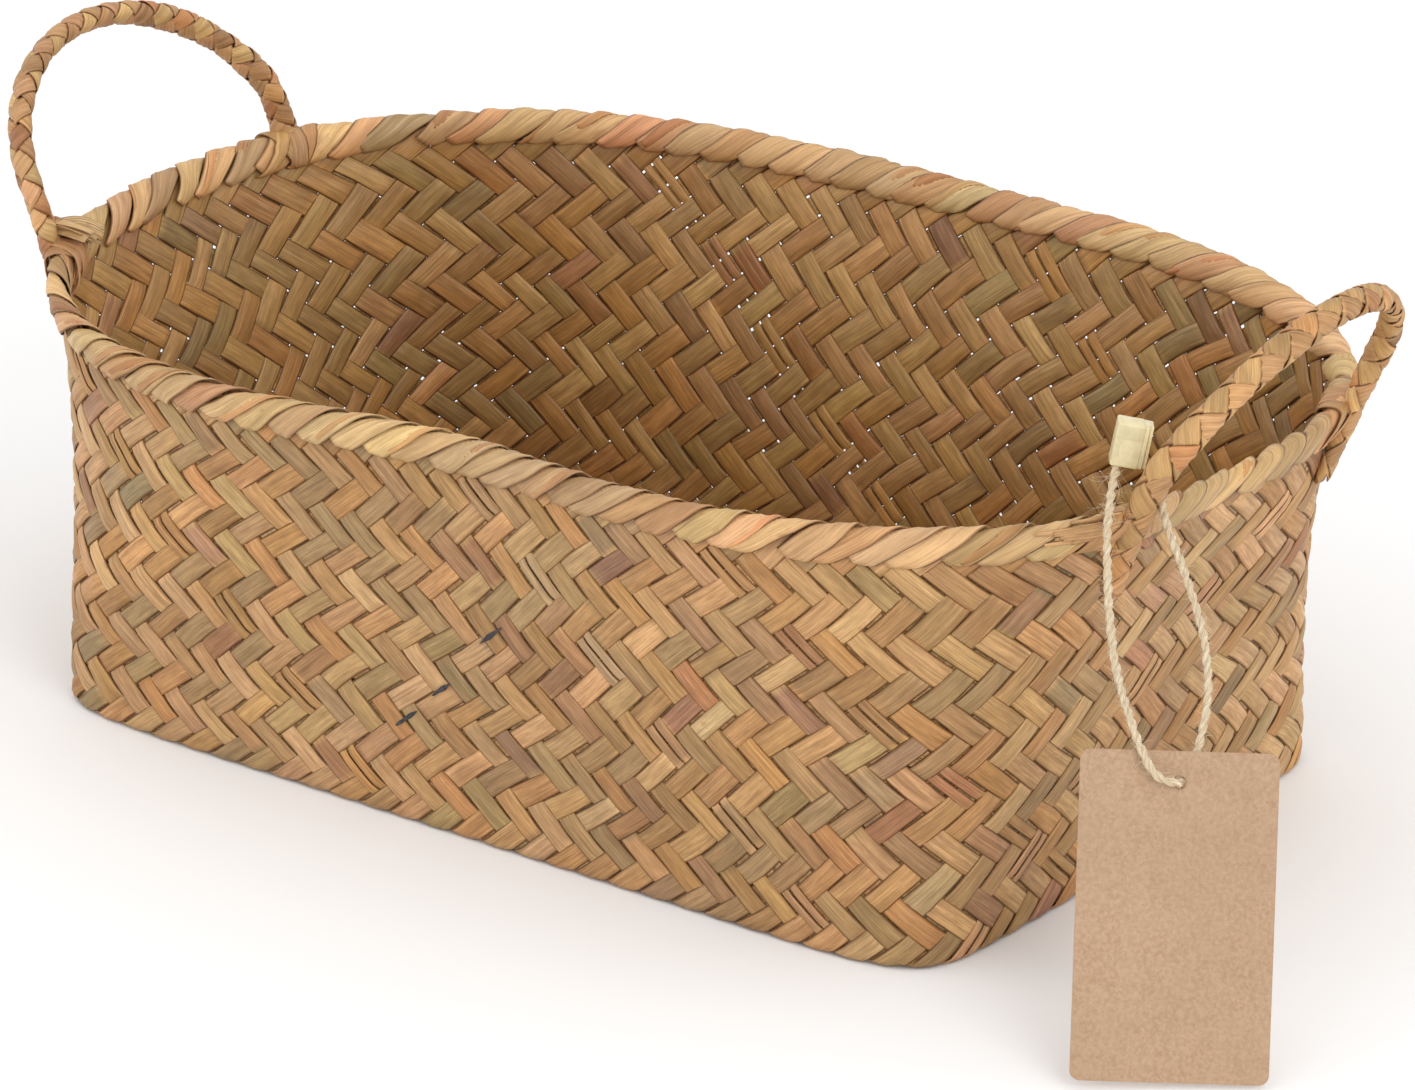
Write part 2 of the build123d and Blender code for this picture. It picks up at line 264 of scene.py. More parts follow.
class Heap:
    """Collects swept ribbons into one mesh with the attributes that the grain material reads."""

    def __init__(self):
        self.v, self.f, self.gr, self.ti, self.c, self.n = [], [], [], [], [], 0

    def add(self, V, along, across, rnd, tint, edge, flip=False, dark=None):
        """V is (rows, ring, 3) in mm."""
        n, m = V.shape[:2]
        idx = self.n + np.arange(n*m).reshape(n, m)
        a = idx[:-1, :]
        b = idx[1:, :]
        q = np.stack([a, np.roll(a, -1, 1), np.roll(b, -1, 1), b], -1).reshape(-1, 4)
        caps = [list(idx[0, ::-1]), list(idx[-1, :])]
        # signed volume decides which way round the faces go
        ctr = V.mean((0, 1))
        F = V.reshape(-1, 3)
        ql = q-self.n
        p0, p1, p2 = F[ql[:, 0]]-ctr, F[ql[:, 1]]-ctr, F[ql[:, 2]]-ctr
        vol = np.einsum("ij,ij->i", np.cross(p1, p2), p0).sum()
        if vol < 0:
            q = q[:, ::-1]
            caps = [c[::-1] for c in caps]
        self.v.append(F)
        self.f.append((q, caps))
        self.gr.append(np.stack([np.broadcast_to(along, (n, m)), np.broadcast_to(across, (n, m)), np.full((n, m), rnd)], -1).reshape(-1, 3))
        tint = np.asarray(tint, float)
        if tint.ndim == 1:
            tint = tint[None, None, :]
        elif tint.ndim == 2:
            tint = tint[:, None, :]
        self.ti.append(np.broadcast_to(tint, (n, m, 3)).reshape(-1, 3))
        self.c.append(np.broadcast_to(edge, (n, m)).reshape(-1))
        self.n += n*m

    def build(self, name, material):
        me = bpy.data.meshes.new(name)
        V = (np.concatenate(self.v) + np.array([OX, OY, 0]))*MM
        Q = np.concatenate([q for q, _ in self.f])
        caps = [c for _, cs in self.f for c in cs]
        loops = np.concatenate([Q.reshape(-1)] + [np.array(c) for c in caps])
        sizes = np.concatenate([np.full(len(Q), 4), [len(c) for c in caps]]).astype(np.int32)
        starts = np.concatenate([[0], np.cumsum(sizes)[:-1]]).astype(np.int32)
        me.vertices.add(len(V))
        me.vertices.foreach_set("co", V.astype(np.float32).reshape(-1))
        me.loops.add(len(loops))
        me.loops.foreach_set("vertex_index", loops.astype(np.int32))
        me.polygons.add(len(sizes))
        me.polygons.foreach_set("loop_start", starts)
        me.polygons.foreach_set("loop_total", sizes)
        me.update(calc_edges=True)
        me.validate()
        me.polygons.foreach_set("use_smooth", np.ones(len(me.polygons), bool))
        at = me.attributes.new("gr", "FLOAT_VECTOR", "POINT")
        at.data.foreach_set("vector", np.concatenate(self.gr).astype(np.float32).reshape(-1))
        at = me.attributes.new("tint", "FLOAT_COLOR", "POINT")
        ti = np.concatenate(self.ti)
        at.data.foreach_set("color", np.concatenate([ti, np.ones((len(ti), 1))], 1).astype(np.float32).reshape(-1))
        at = me.attributes.new("edge", "FLOAT", "POINT")
        at.data.foreach_set("value", np.concatenate(self.c).astype(np.float32))
        me.update()
        ob = bpy.data.objects.new(name, me)
        bpy.context.scene.collection.objects.link(ob)
        me.materials.append(material)
        return ob


def step01(f):
    f = np.clip((f-.5)/.8+.5, 0, 1)
    return f*f*f*(f*(6*f-15)+10)


def weave_strip(heap, kind, idx):
    seg, base, up, end = trace(kind, idx)
    rows_mode, rows_a, rows_b, rows_da, rows_db, rows_side, rows_h, rows_st, rows_len = [], [], [], [], [], [], [], [], []
    total = 0.0
    tint0 = strip_tint()
    first = True
    htargets = {}
    tints = []
    stream = []          # (mode, a, b, da, db, side, h, sgn)
    cur_tint = tint0
    prev_h = None
    for block in (seg, base, up):
        H = [(1.0 if p[3] else -1.0)*RNG.uniform(.8, 1.2) for p in block]
        if prev_h is not None:
            H[0] = prev_h
        prev_h = H[-1]
        for i in range(len(block)-1):
            p, q = block[i], block[i+1]
            da, db = q[1]-p[1], q[2]-p[2]
            for k in range(SUB):
                if i == 0 and k == 0 and block is not seg:
                    pass
                f = k/SUB
                u = step01(f)
                stream.append((p[0], p[1]+da*f, p[2]+db*f, da, db, p[4], H[i]*(1-u)+H[i+1]*u))
    p, q = up[-2], up[-1]
    stream.append((0, q[1], q[2], q[1]-p[1], q[2]-p[2], q[4], H[-1]))
    S = np.array([[s[0], s[1], s[2], s[3], s[4], s[5], s[6]] for s in stream], float)
    # trim the two ends a little below the rim's top
    keep = ~((S[:, 0] == 0) & (S[:, 2] > NV-.35))
    S = S[keep]
    n = len(S)
    mode = S[:, 0].astype(int)
    # across direction, kept on the same side through the change of chart at the bottom edge
    da, db = S[:, 3], S[:, 4]
    ca = np.where(mode == 0, -db, db)
    cb = np.where(mode == 0, da, -da)
    half = np.clip((.488+smooth_noise(n, 10, .026))*RNG.uniform(.955, 1.01), .40, .53)
    wander = smooth_noise(n, 12, .020)
    split = RNG.random() < .07
    lanes = [(0.0, 1.0)] if not split else [(-.53, .45), (.53, .45)]
    arc = np.arange(n)/SUB*6.95
    rnd = RNG.uniform(0, 100)
    # tint drifts along the strip and jumps a little from float to float
    drift = np.stack([smooth_noise(n, 30, .06)]*3, -1) + np.stack([smooth_noise(n, 22, .012) for _ in range(3)], -1)
    sgn = np.sign(S[:, 6])
    fl = np.cumsum(np.concatenate([[0], (np.diff(sgn) != 0).astype(int)]))
    jump = RNG.normal(0, .10, fl.max()+1)[fl]
    hue = RNG.normal(0, .02, (fl.max()+1, 3))[fl]
    odd = RNG.random(fl.max()+1)[fl]
    tint = tint0*(1+drift+jump[:, None]+hue)
    tint = np.where((odd < .06)[:, None], tint*np.array([.84, .74, .88]), tint)
    tint = np.where((odd > .94)[:, None], tint*np.array([.84, .92, 1.0]), tint)
    tint = np.clip(tint, .05, .95)
    for lc, lw in lanes:
        c = CP[None, :]
        lam = (wander[:, None] + half[:, None]*(lc+c*lw))
        A = S[:, 1:2] + ca[:, None]*lam
        B = S[:, 2:3] + cb[:, None]*lam
        st = S[:, 6][:, None]
        cc = lc+c*lw
        thick = .25
        off = -.88 + .52*st - .34*np.clip(st, -1, 1)*cc**2*(1.0 if not split else .7) + EP[None, :]*thick
        off = off + (smooth_noise(n, 9, .05))[:, None]*c
        md = np.repeat(mode[:, None], 8, 1)
        sd = np.repeat(S[:, 5].astype(int)[:, None], 8, 1)
        P = place(md, A, B, off, sd)
        face = np.clip(.5+EP*.7, 0, 1)[None, :, None]
        t3 = tint[:, None, :]*(face + (1-face)*np.array([.88, .85, .70]))
        heap.add(P, arc[:, None], cc*3.3, rnd+lc*3, t3, c*1.0)
    return end


# ---------------------------------------------------------------- materials
def nodes_of(name):
    m = bpy.data.materials.new(name)
    m.use_nodes = True
    nt = m.node_tree
    return m, nt, nt.nodes["Principled BSDF"]


def new(nt, kind, **kw):
    n = nt.nodes.new(kind)
    for k, v in kw.items():
        setattr(n, k, v)
    return n


def math(nt, op, a, b=None, c=None, clamp=False):
    n = new(nt, "ShaderNodeMath", operation=op, use_clamp=clamp)
    for i, x in enumerate((a, b, c)):
        if x is None:
            continue
        if isinstance(x, (int, float)):
            n.inputs[i].default_value = x
        else:
            nt.links.new(x, n.inputs[i])
    return n.outputs[0]


def mixc(nt, fac, a, b, blend="MIX"):
    n = new(nt, "ShaderNodeMix", data_type="RGBA", blend_type=blend)
    for sock, x in ((n.inputs[0], fac), (n.inputs[6], a), (n.inputs[7], b)):
        if isinstance(x, (int, float)):
            sock.default_value = x
        elif isinstance(x, (tuple, list)):
            sock.default_value = (*x[:3], 1)
        else:
            nt.links.new(x, sock)
    return n.outputs[2]


def ramp(nt, x, lo, hi, a=0.0, b=1.0):
    n = new(nt, "ShaderNodeMapRange", interpolation_type="SMOOTHSTEP")
    nt.links.new(x, n.inputs[0])
    n.inputs[1].default_value, n.inputs[2].default_value = lo, hi
    n.inputs[3].default_value, n.inputs[4].default_value = a, b
    return n.outputs[0]


def noise(nt, vec, scale, detail=3.0, rough=.5, dist=0.0):
    n = new(nt, "ShaderNodeTexNoise", noise_dimensions="3D")
    nt.links.new(vec, n.inputs["Vector"])
    n.inputs["Scale"].default_value = scale
    n.inputs["Detail"].default_value = detail
    n.inputs["Roughness"].default_value = rough
    n.inputs["Distortion"].default_value = dist
    return n.outputs[0]


def straw_material(name, gain=(1, 1, 1), edge_tone_and_shade_mix=.75, edge_tone_and_shade_rgb=(.13, .038, .014), fibre=1.0, bump=.35, rough=.5, stain=.5):
    m, nt, bs = nodes_of(name)
    gr = new(nt, "ShaderNodeAttribute", attribute_name="gr")
    ti = new(nt, "ShaderNodeAttribute", attribute_name="tint")
    ed = new(nt, "ShaderNodeAttribute", attribute_name="edge")
    sep = new(nt, "ShaderNodeSeparateXYZ")
    nt.links.new(gr.outputs["Vector"], sep.inputs[0])

    def vec(sa, sc, sr=7.0):
        cm = new(nt, "ShaderNodeCombineXYZ")
        nt.links.new(math(nt, "MULTIPLY", sep.outputs[0], sa), cm.inputs[0])
        nt.links.new(math(nt, "MULTIPLY", sep.outputs[1], sc), cm.inputs[1])
        nt.links.new(math(nt, "MULTIPLY", sep.outputs[2], sr), cm.inputs[2])
        return cm.outputs[0]
    fine = noise(nt, vec(.10, 3.2), 1.0, 4, .62)
    broad = noise(nt, vec(.05, .9), 1.0, 3, .55, .4)
    blot = noise(nt, vec(.14, .35), 1.0, 3, .6)
    spot = noise(nt, vec(.6, .9), 1.0, 2, .5)
    col = mixc(nt, 1.0, ti.outputs["Color"], (*gain,), "MULTIPLY")
    f = ramp(nt, fine, .30, .68, 1-.24*fibre, 1+.13*fibre)
    b = ramp(nt, broad, .28, .70, 1-.17*fibre, 1+.12*fibre)
    k = ramp(nt, blot, .25, .75, .86, 1.12)
    fac = math(nt, "MULTIPLY", math(nt, "MULTIPLY", f, b), k)
    cmb = new(nt, "ShaderNodeCombineXYZ")
    nt.links.new(fac, cmb.inputs[0])
    nt.links.new(math(nt, "POWER", fac, 1.12), cmb.inputs[1])
    nt.links.new(math(nt, "POWER", fac, 1.25), cmb.inputs[2])
    col = mixc(nt, 1.0, col, cmb.outputs[0], "MULTIPLY")
    streak = noise(nt, vec(.045, 2.1), 1.0, 2, .5, .3)
    sk = math(nt, "MULTIPLY", ramp(nt, streak, .60, .70), .42*fibre)
    col = mixc(nt, sk, col, (.20, .085, .032))
    pale = math(nt, "MULTIPLY", ramp(nt, streak, .40, .30), .16*fibre)
    col = mixc(nt, pale, col, (.74, .56, .32))
    st = math(nt, "MULTIPLY", ramp(nt, blot, .60, .74), stain)
    col = mixc(nt, st, col, (.33, .15, .06))
    sp = math(nt, "MULTIPLY", ramp(nt, spot, .70, .78), .55*stain)
    col = mixc(nt, sp, col, (.22, .09, .035))
    # strip edges darken towards a reddish brown: partly the strips' own reddish edges, partly painted shade in the gaps
    # where each strip tucks under its neighbours
    e = math(nt, "ABSOLUTE", ed.outputs["Fac"])
    e = math(nt, "ADD", e, math(nt, "MULTIPLY", math(nt, "SUBTRACT", blot, .5), .35))
    em = math(nt, "MULTIPLY", ramp(nt, e, .84, 1.04), edge_tone_and_shade_mix)
    col = mixc(nt, em, col, edge_tone_and_shade_rgb)
    nt.links.new(col, bs.inputs["Base Color"])
    nt.links.new(ramp(nt, broad, .3, .7, rough+.10, rough-.06), bs.inputs["Roughness"])
    bs.inputs["Specular IOR Level"].default_value = .42
    bp = new(nt, "ShaderNodeBump")
    bp.inputs["Strength"].default_value = bump
    bp.inputs["Distance"].default_value = .0004
    hgt = math(nt, "ADD", math(nt, "MULTIPLY", fine, .6), math(nt, "MULTIPLY", broad, .8))
    nt.links.new(hgt, bp.inputs["Height"])
    nt.links.new(bp.outputs[0], bs.inputs["Normal"])
    return m


mat_straw = straw_material("plaited_straw")
mat_rim = straw_material("rim_straw", gain=(1.10, 1.12, 1.16), edge_tone_and_shade_mix=.8, fibre=.8)
mat_braid = straw_material("braid_straw", gain=(1.0, .95, .90), edge_tone_and_shade_mix=.8, edge_tone_and_shade_rgb=(.18, .055, .022), fibre=.9, bump=.5)

# ---------------------------------------------------------------- weave
GROUPS = 14
heaps = [Heap() for _ in range(GROUPS)]
seen = set()
count = 0
for kind in "AB":
    for idx in range(88):
        if (kind, idx) in seen:
            continue
        seen.add((kind, idx))
        end = weave_strip(heaps[count % GROUPS], kind, idx)
        seen.add(end)
        count += 1
print("strips", count)
for g, h in enumerate(heaps):
    ob = h.build(f"woven_strips_{g+1:02d}", mat_straw)
    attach(ob, "basket")
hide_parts("base_mat", "wall_front", "wall_back", "wall_left", "wall_right")


# ---------------------------------------------------------------- generic ribbon sweep (and the dark slits of the front wall, painted shade in narrow gaps between the strips)
def unit(v):
    return v/np.maximum(np.linalg.norm(v, axis=-1, keepdims=True), 1e-9)


def ribbon(heap, P, X, half, thick, tint, curl=0.0, rnd=None, N=None, tilt=0.0, wave_amp=0.0, edge=1.0):
    """A flat strip along points P (n,3), its width along X (n,3), both in mm."""
    P, X = np.asarray(P, float), np.asarray(X, float)
    n = len(P)
    T = unit(np.gradient(P, axis=0))
    X = unit(X - T*np.sum(X*T, -1, keepdims=True))
    Nn = np.cross(T, X) if N is None else unit(N - T*np.sum(N*T, -1, keepdims=True) - X*np.sum(N*X, -1, keepdims=True))
    half = np.broadcast_to(half, (n,))
    thick = np.broadcast_to(thick, (n,))
    c = CP[None, :, None]
    e = EP[None, :, None]
    wob = smooth_noise(n, 6, wave_amp)[:, None, None] if wave_amp else 0.0
    V = P[:, None] + X[:, None]*c*half[:, None, None] + Nn[:, None]*(e*thick[:, None, None] - curl*c**2 + tilt*c + wob*c)
    arc = np.concatenate([[0], np.cumsum(np.linalg.norm(np.diff(P, axis=0), axis=1))])
    heap.add(V, arc[:, None], CP[None, :]*half[:, None], RNG.uniform(0, 100) if rnd is None else rnd, tint, CP[None, :]*edge)


# ---------------------------------------------------------------- rolled rim: folded strip ends, each lapping over the next
# The fold's section is given as (off, z below the local rim height): up the outside, over the top, down the inside.
SEC = np.array([(-.3, -10.0), (.7, -9.2), (1.25, -7.6), (1.6, -5.4), (1.75, -3.4), (1.5, -1.6), (.65, -.45), (-.6, 0.0),
                (-1.9, -.3), (-2.9, -1.3), (-3.35, -2.9), (-3.4, -4.8), (-3.2, -6.6), (-2.7, -7.9), (-1.8, -8.8), (-1.0, -9.2)])
SEC_L = np.concatenate([[0], np.cumsum(np.hypot(*np.diff(SEC, axis=0).T))])
SEC_TOP = float(SEC_L[7])


def rim_point(U, off, dz):
    """A point beside the rim: off outward from the wall surface, dz from the local rim height."""
    s_ = np.clip(1+dz/RIM_H, .5, 1.02)
    t = t_of(U, np.ones_like(U))
    H = RIM_H + wave(RIM_UP, t)
    P = surf(t, s_, -off)
    P[..., 2] = H+dz
    return P


UMM = 923.0/88


def rim_wrap(heap, U0, width, slant, tint, lift=0.0, lo=0.0, hi=1.0, n=28, curl=.22, tilt=.42, flare=0.0):
    """One folded strip end; width is square to its own direction."""
    span = SEC_L[-1]
    ang = atan2(1.0, slant)
    qc = np.linspace(lo, hi, n)*span
    su, sq = sin(ang), cos(ang)
    q = qc[:, None] - CP[None, :]*width/2*sq
    q = np.clip(q, 0.0, span)
    U = U0 + ((qc[:, None]-SEC_TOP)*slant + CP[None, :]*width/2*su)/UMM
    U = U + smooth_noise(n, 9, .03)[:, None]
    off = np.interp(q, SEC_L, SEC[:, 0])
    dz = np.interp(q, SEC_L, SEC[:, 1])
    g_o = np.interp(q+.6, SEC_L, SEC[:, 0])-np.interp(q-.6, SEC_L, SEC[:, 0])
    g_z = np.interp(q+.6, SEC_L, SEC[:, 1])-np.interp(q-.6, SEC_L, SEC[:, 1])
    ln = np.maximum(np.hypot(g_o, g_z), 1e-6)
    wob = smooth_noise(n, 6, .09)
    end = np.clip(np.minimum(qc-qc[0], qc[-1]-qc)/2.2, 0, 1)[:, None]
    h = EP[None, :]*.22 + (lift + tilt*CP[None, :] + wob[:, None]*CP[None, :])*(.35+.65*end) - curl*CP[None, :]**2 + (flare*np.clip(1-(qc-qc[0])/4.0, 0, 1)**1.4)[:, None]*(.6+.4*CP[None, :])
    heap.add(rim_point(U, off + g_z/ln*h, dz - g_o/ln*h), qc[:, None], CP[None, :]*width/2, RNG.uniform(0, 100), tint, CP[None, :])


# the slits' near-black colour is painted shade: narrow gaps in the front wall's weave, drawn as thin dark lenses on its
# surface
m_slit, nts, bss = nodes_of("painted_gap_shade")
tcs = new(nts, "ShaderNodeTexCoord")
nts.links.new(mixc(nts, ramp(nts, noise(nts, tcs.outputs["Object"], 700.0, 3, .6), .3, .7), (.012, .012, .015), (.06, .055, .06)), bss.inputs["Base Color"])
bss.inputs["Roughness"].default_value = .75
slits = Heap()
for Uc_, Vc_, Ls in ((14.55, 7.0, .74), (12.9, 4.75, .60), (11.75, 3.45, .72)):
    u = np.linspace(-1, 1, 12)
    UU_ = (Uc_+.5*Ls*u)[:, None] + CP[None, :]*(.046*(np.maximum(1-u**2, .01)**.7*(1+.25*np.sin(5*u+Uc_))))[:, None]
    VV_ = (Vc_+.5*Ls*u)[:, None] - CP[None, :]*(.046*(np.maximum(1-u**2, .01)**.7*(1+.25*np.sin(5*u+Uc_))))[:, None]
    slits.add(wall_pos(UU_, VV_, -.02+EP[None, :]*.07+0*UU_), u[:, None]*4, CP[None, :], 1.0, np.array([.03, .03, .035]), CP[None, :])
slit_ob = slits.build("dark_slits", m_slit)
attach(slit_ob, "basket")
def U_at(deg):
    t = radians(deg) % (2*pi)
    t = t if t >= radians(225) else t+2*pi
    row = TU[int(round(1/1.1*(len(S_GRID)-1)))]
    return float(np.interp(t, row, U_GRID))


RIM_GROUPS = 3
END_LO, END_HI = U_at(-26), U_at(38)
rim_heaps = [Heap() for _ in range(RIM_GROUPS)]
NR = 88
for i in range(NR):
    U0 = i+.2+RNG.uniform(-.10, .10)
    w = RNG.uniform(6.9, 8.4)
    sl = RNG.normal(1.35, .16)
    at_end = END_LO < i < END_HI
    if at_end:    # the folds stand more upright and looser round the right end
        sl = .72+(sl-1.35)*1.5
    base_t = np.array([.555, .338, .150])*(1+RNG.normal(0, .035, 3))*(1+RNG.normal(0, .13))
    if RNG.random() < .16:
        base_t = base_t*np.array([.92, .78, .74])
    if RNG.random() < .10:
        base_t = base_t*np.array([.92, .98, .92])
    lo = RNG.uniform(.0, .06)
    grp = rim_heaps[i % RIM_GROUPS]
    rim_wrap(grp, U0, w, sl, base_t, lift=RNG.uniform(-.05, .28), lo=lo, hi=RNG.uniform(.90, 1.0), tilt=RNG.uniform(.36, .78)+.45*at_end, flare=RNG.uniform(0, .8)*(RNG.random() < .6)+.5*at_end)
    if RNG.random() < .42:    # a thin doubled edge beside the fold
        rim_wrap(grp, U0+RNG.uniform(.25, .45), RNG.uniform(1.6, 3.0), sl+RNG.normal(0, .08), base_t*np.array([.88, .72, .62]), lift=.42, lo=lo+.02, hi=RNG.uniform(.6, .95), tilt=.25, curl=.1)
for g, h in enumerate(rim_heaps):
    ob = h.build(f"rim_folds_{g+1}", mat_rim)
    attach(ob, "basket")
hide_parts("rim_front", "rim_back", "rim_left", "rim_right")

# ---------------------------------------------------------------- braided handles
ROOTS = {"right": (np.array([179.0, -41.2, 125.3]), np.array([176.0, 63.1, 123.9]), -20.4, 30.2, (44.5, 0.523, 10.0, 1.15, 2.0)),
         "left": (np.array([-175.6, -55.6, 121.9]), np.array([-177.6, 49.4, 122.7]), 207.0, 155.6, (47.0, 0.548, -7.0, 1.00, 0.0))}


def handle_line(side):
    r0, r1, a0, a1, (arch, lean, skew, full, sway) = ROOTS[side]
    tau = np.linspace(0, pi, 81)
    ch = r1-r0
    L = np.linalg.norm(ch)
    u = ch/L
    out = np.array([u[1], -u[0], 0.0])
    out = out/np.linalg.norm(out)
    if out[0]*(r0[0]) < 0:
        out = -out
    up = np.cross(out, u)
    if up[2] < 0:
        up = -up
    d = up*cos(lean) + out*sin(lean)
    P = r0 + u*(L/2*(1-np.cos(tau)) + skew*np.sin(tau))[:, None] + d*(arch*np.sin(tau)**full + sway*np.sin(2*tau))[:, None]
    nrm = np.cross(u, d)
    if nrm[0]*r0[0] < 0:
        nrm = -nrm
    # the tails run down the outside of the wall under each root
    tails = []
    for r, a in ((r0, a0), (r1, a1)):
        t = radians(a)
        H = RIM_H + wave(RIM_UP, t)
        dz = np.array([-25.0, -20.0, -15.0, -11.0, -7.0, -3.0])
        Pt = np.array([surf(t, (H+z)/H, -o) for z, o in zip(dz, [1.2, 1.7, 2.0, 2.3, 2.8, 3.0])])
        Pt[:, 2] = H+dz
        tails.append(Pt)
    keep = (tau > .12) & (tau < pi-.12)
    pts = np.concatenate([tails[0], P[keep], tails[1][::-1]])
    # smooth the whole line and give it even steps
    for _ in range(3):
        pts[1:-1] = pts[1:-1]*.5 + (pts[:-2]+pts[2:])*.25
    arc = np.concatenate([[0], np.cumsum(np.linalg.norm(np.diff(pts, axis=0), axis=1))])
    n = int(arc[-1]/.75)
    aa = np.linspace(0, arc[-1], n)
    pts = np.stack([np.interp(aa, arc, pts[:, k]) for k in range(3)], -1)
    for _ in range(6):
        pts[1:-1] = pts[1:-1]*.5 + (pts[:-2]+pts[2:])*.25
    T = unit(np.gradient(pts, axis=0))
    # thickness direction: the loop's own normal up in the loop, the wall's outward normal on the tails
    ctr = (r0+r1)/2 + d*arch*.35
    radial = unit(pts-ctr)
    radial = radial - nrm*np.sum(radial*nrm, -1, keepdims=True)
    tail_n = np.array([cos(radians(a0)), sin(radians(a0)), 0.0])
    tail_n2 = np.array([cos(radians(a1)), sin(radians(a1)), 0.0])
    g = np.clip((aa-22)/22, 0, 1)*np.clip((aa[-1]-22-aa)/22, 0, 1)
    g = g*g*(3-2*g)
    side_n = np.where((aa < aa[-1]/2)[:, None], tail_n, tail_n2)
    Nn = side_n*(1-g)[:, None] + (radial + nrm*.25)*g[:, None]
    Nn = unit(Nn - T*np.sum(Nn*T, -1, keepdims=True))
    X = np.cross(T, Nn)
    return pts, T, X, Nn, aa


def braid(side):
    """Four flat strips plaited round a flattened core: two wind one way, two the other, over and under by turns."""
    pts, T, X, Nn, aa = handle_line(side)
    heap = Heap()
    lam, A0_, B0_, hw = (21.0, 3.15, 2.35, 3.35) if side == "right" else (15.0, 3.05, 2.45, 2.75)
    n0 = len(pts)
    twist = smooth_noise(n0, 60, .20)
    Xr = X*np.cos(twist)[:, None] + Nn*np.sin(twist)[:, None]
    Nr = -X*np.sin(twist)[:, None] + Nn*np.cos(twist)[:, None]
    tail = np.clip(np.minimum(aa, aa[-1]-aa)/20.0, 0, 1)
    fat = 1+smooth_noise(n0, 18, .045)
    Aof = (A0_*(.80+.20*tail))*fat
    Bof = (B0_*(.42+.58*tail))*fat

    def at(sv, th, h):
        g = lambda F: np.interp(sv, aa, F)
        P = np.stack([g(pts[:, k]) for k in range(3)], -1)
        x = np.stack([g(Xr[:, k]) for k in range(3)], -1)
        m = np.stack([g(Nr[:, k]) for k in range(3)], -1)
        return P + x*((g(Aof)+h)*np.cos(th))[..., None] + m*((g(Bof)+h)*np.sin(th))[..., None]
    # dark core that fills the middle; its dark colour is painted shade in the gaps between the plaited strips
    sc = np.linspace(.6, aa[-1]-.6, int(aa[-1]/1.5))
    th8 = np.linspace(0, 2*pi, 8, endpoint=False)
    core = at(sc[:, None]+0*th8[None, :], th8[None, :]+0*sc[:, None], -.55+0*sc[:, None]*th8[None, :])
    heap.add(core, sc[:, None], th8[None, :], 3.0, np.array([.22, .10, .04]), np.zeros(8)[None, :])
    R = (A0_+B0_)/2
    alpha = atan2(2*pi*R, lam)
    for d in (1, -1):
        for k in range(2):
            th_s = 0.0
            s0, s1 = 1.2+RNG.uniform(0, 1.5), aa[-1]-1.2-RNG.uniform(0, 1.5)
            n = int((s1-s0)/cos(alpha)/.9)
            sv = np.linspace(s0, s1, n)
            jit = smooth_noise(n, 16, .10)
            th = d*(2*pi*sv/lam + jit) + pi*k + pi/4*1.0 + pi/2
            over = np.tanh(2.4*d*np.cos(4*pi*sv/lam))
            half = hw*(1+smooth_noise(n, 9, .07))
            c = CP[None, :]
            S2 = sv[:, None] - sin(alpha)*c*half[:, None]
            TH = th[:, None] + d*cos(alpha)*c*half[:, None]/R
            tilt = smooth_noise(n, 12, .10)[:, None]
            lift = .30 + .40*over[:, None] - .18*np.clip(over, -1, 1)[:, None]*c**2 + (tilt+.14)*c
            H = lift + EP[None, :]*.24
            V = at(np.clip(S2, 0, aa[-1]), TH, H)
            tn = np.array([.53, .315, .135])*(1+RNG.normal(0, .03, 3))*(1+RNG.normal(0, .05))
            fl = np.floor((4*sv/lam)+.5).astype(int)
            jump = RNG.normal(0, .12, fl.max()+2)[fl]
            red = np.where(RNG.random(fl.max()+2)[fl] < .14, 1.0, 0.0)[:, None]
            tint = tn*(1+jump[:, None]+smooth_noise(n, 14, .08)[:, None])
            tint = tint*(1-red) + tint*np.array([.95, .80, .72])*red
            arc = (sv-s0)/cos(alpha)
            heap.add(V, arc[:, None], CP[None, :]*hw, RNG.uniform(0, 100), np.clip(tint, .05, .95), CP[None, :])
    return heap


for side in ("right", "left"):
    ob = braid(side).build(f"braided_handle_{side}", mat_braid)
    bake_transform(ob)
    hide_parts(f"handle_loop_{side}", f"braid_end_{side}_front", f"braid_end_{side}_back")

# ---------------------------------------------------------------- lashings of the handle feet
lash = Heap()


def loop_wrap(heap, U0, width, slant, tint, grow=2.2, drop=0.0, lo=0.0, hi=1.0, tilt=.2):
    """A strip taken right round the rim and over the handle's foot."""
    q = np.linspace(lo, hi, 30)*SEC_L[-1]
    off = np.interp(q, SEC_L, SEC[:, 0])
    dz = np.interp(q, SEC_L, SEC[:, 1])
    cx, cz = -1.1, -4.0
    k = np.sin(np.clip(q/SEC_L[-1], 0, 1)*pi)**.5
    off = off + np.sign(off-cx)*grow*k*np.clip(np.abs(off-cx)/2, 0, 1)
    dz = dz + np.where(dz > -2, .4*grow*k, 0.0) - drop*(1-k)
    Uc = U0 + (q-SEC_TOP)*slant/UMM
    n = len(q)
    Nq = np.stack([np.gradient(dz), -np.gradient(off)], -1)
    Nq = Nq/np.maximum(np.linalg.norm(Nq, axis=1, keepdims=True), 1e-9)
    wob = smooth_noise(n, 7, .12)
    h = EP[None, :]*.26 - .25*CP[None, :]**2 + tilt*CP[None, :] + wob[:, None]*CP[None, :]
    Pm = rim_point(Uc[:, None] + CP[None, :]*width/2/UMM, off[:, None]+Nq[:, :1]*h, dz[:, None]+Nq[:, 1:]*h)
    heap.add(Pm, q[:, None], CP[None, :]*width/2, RNG.uniform(0, 100), tint, CP[None, :])


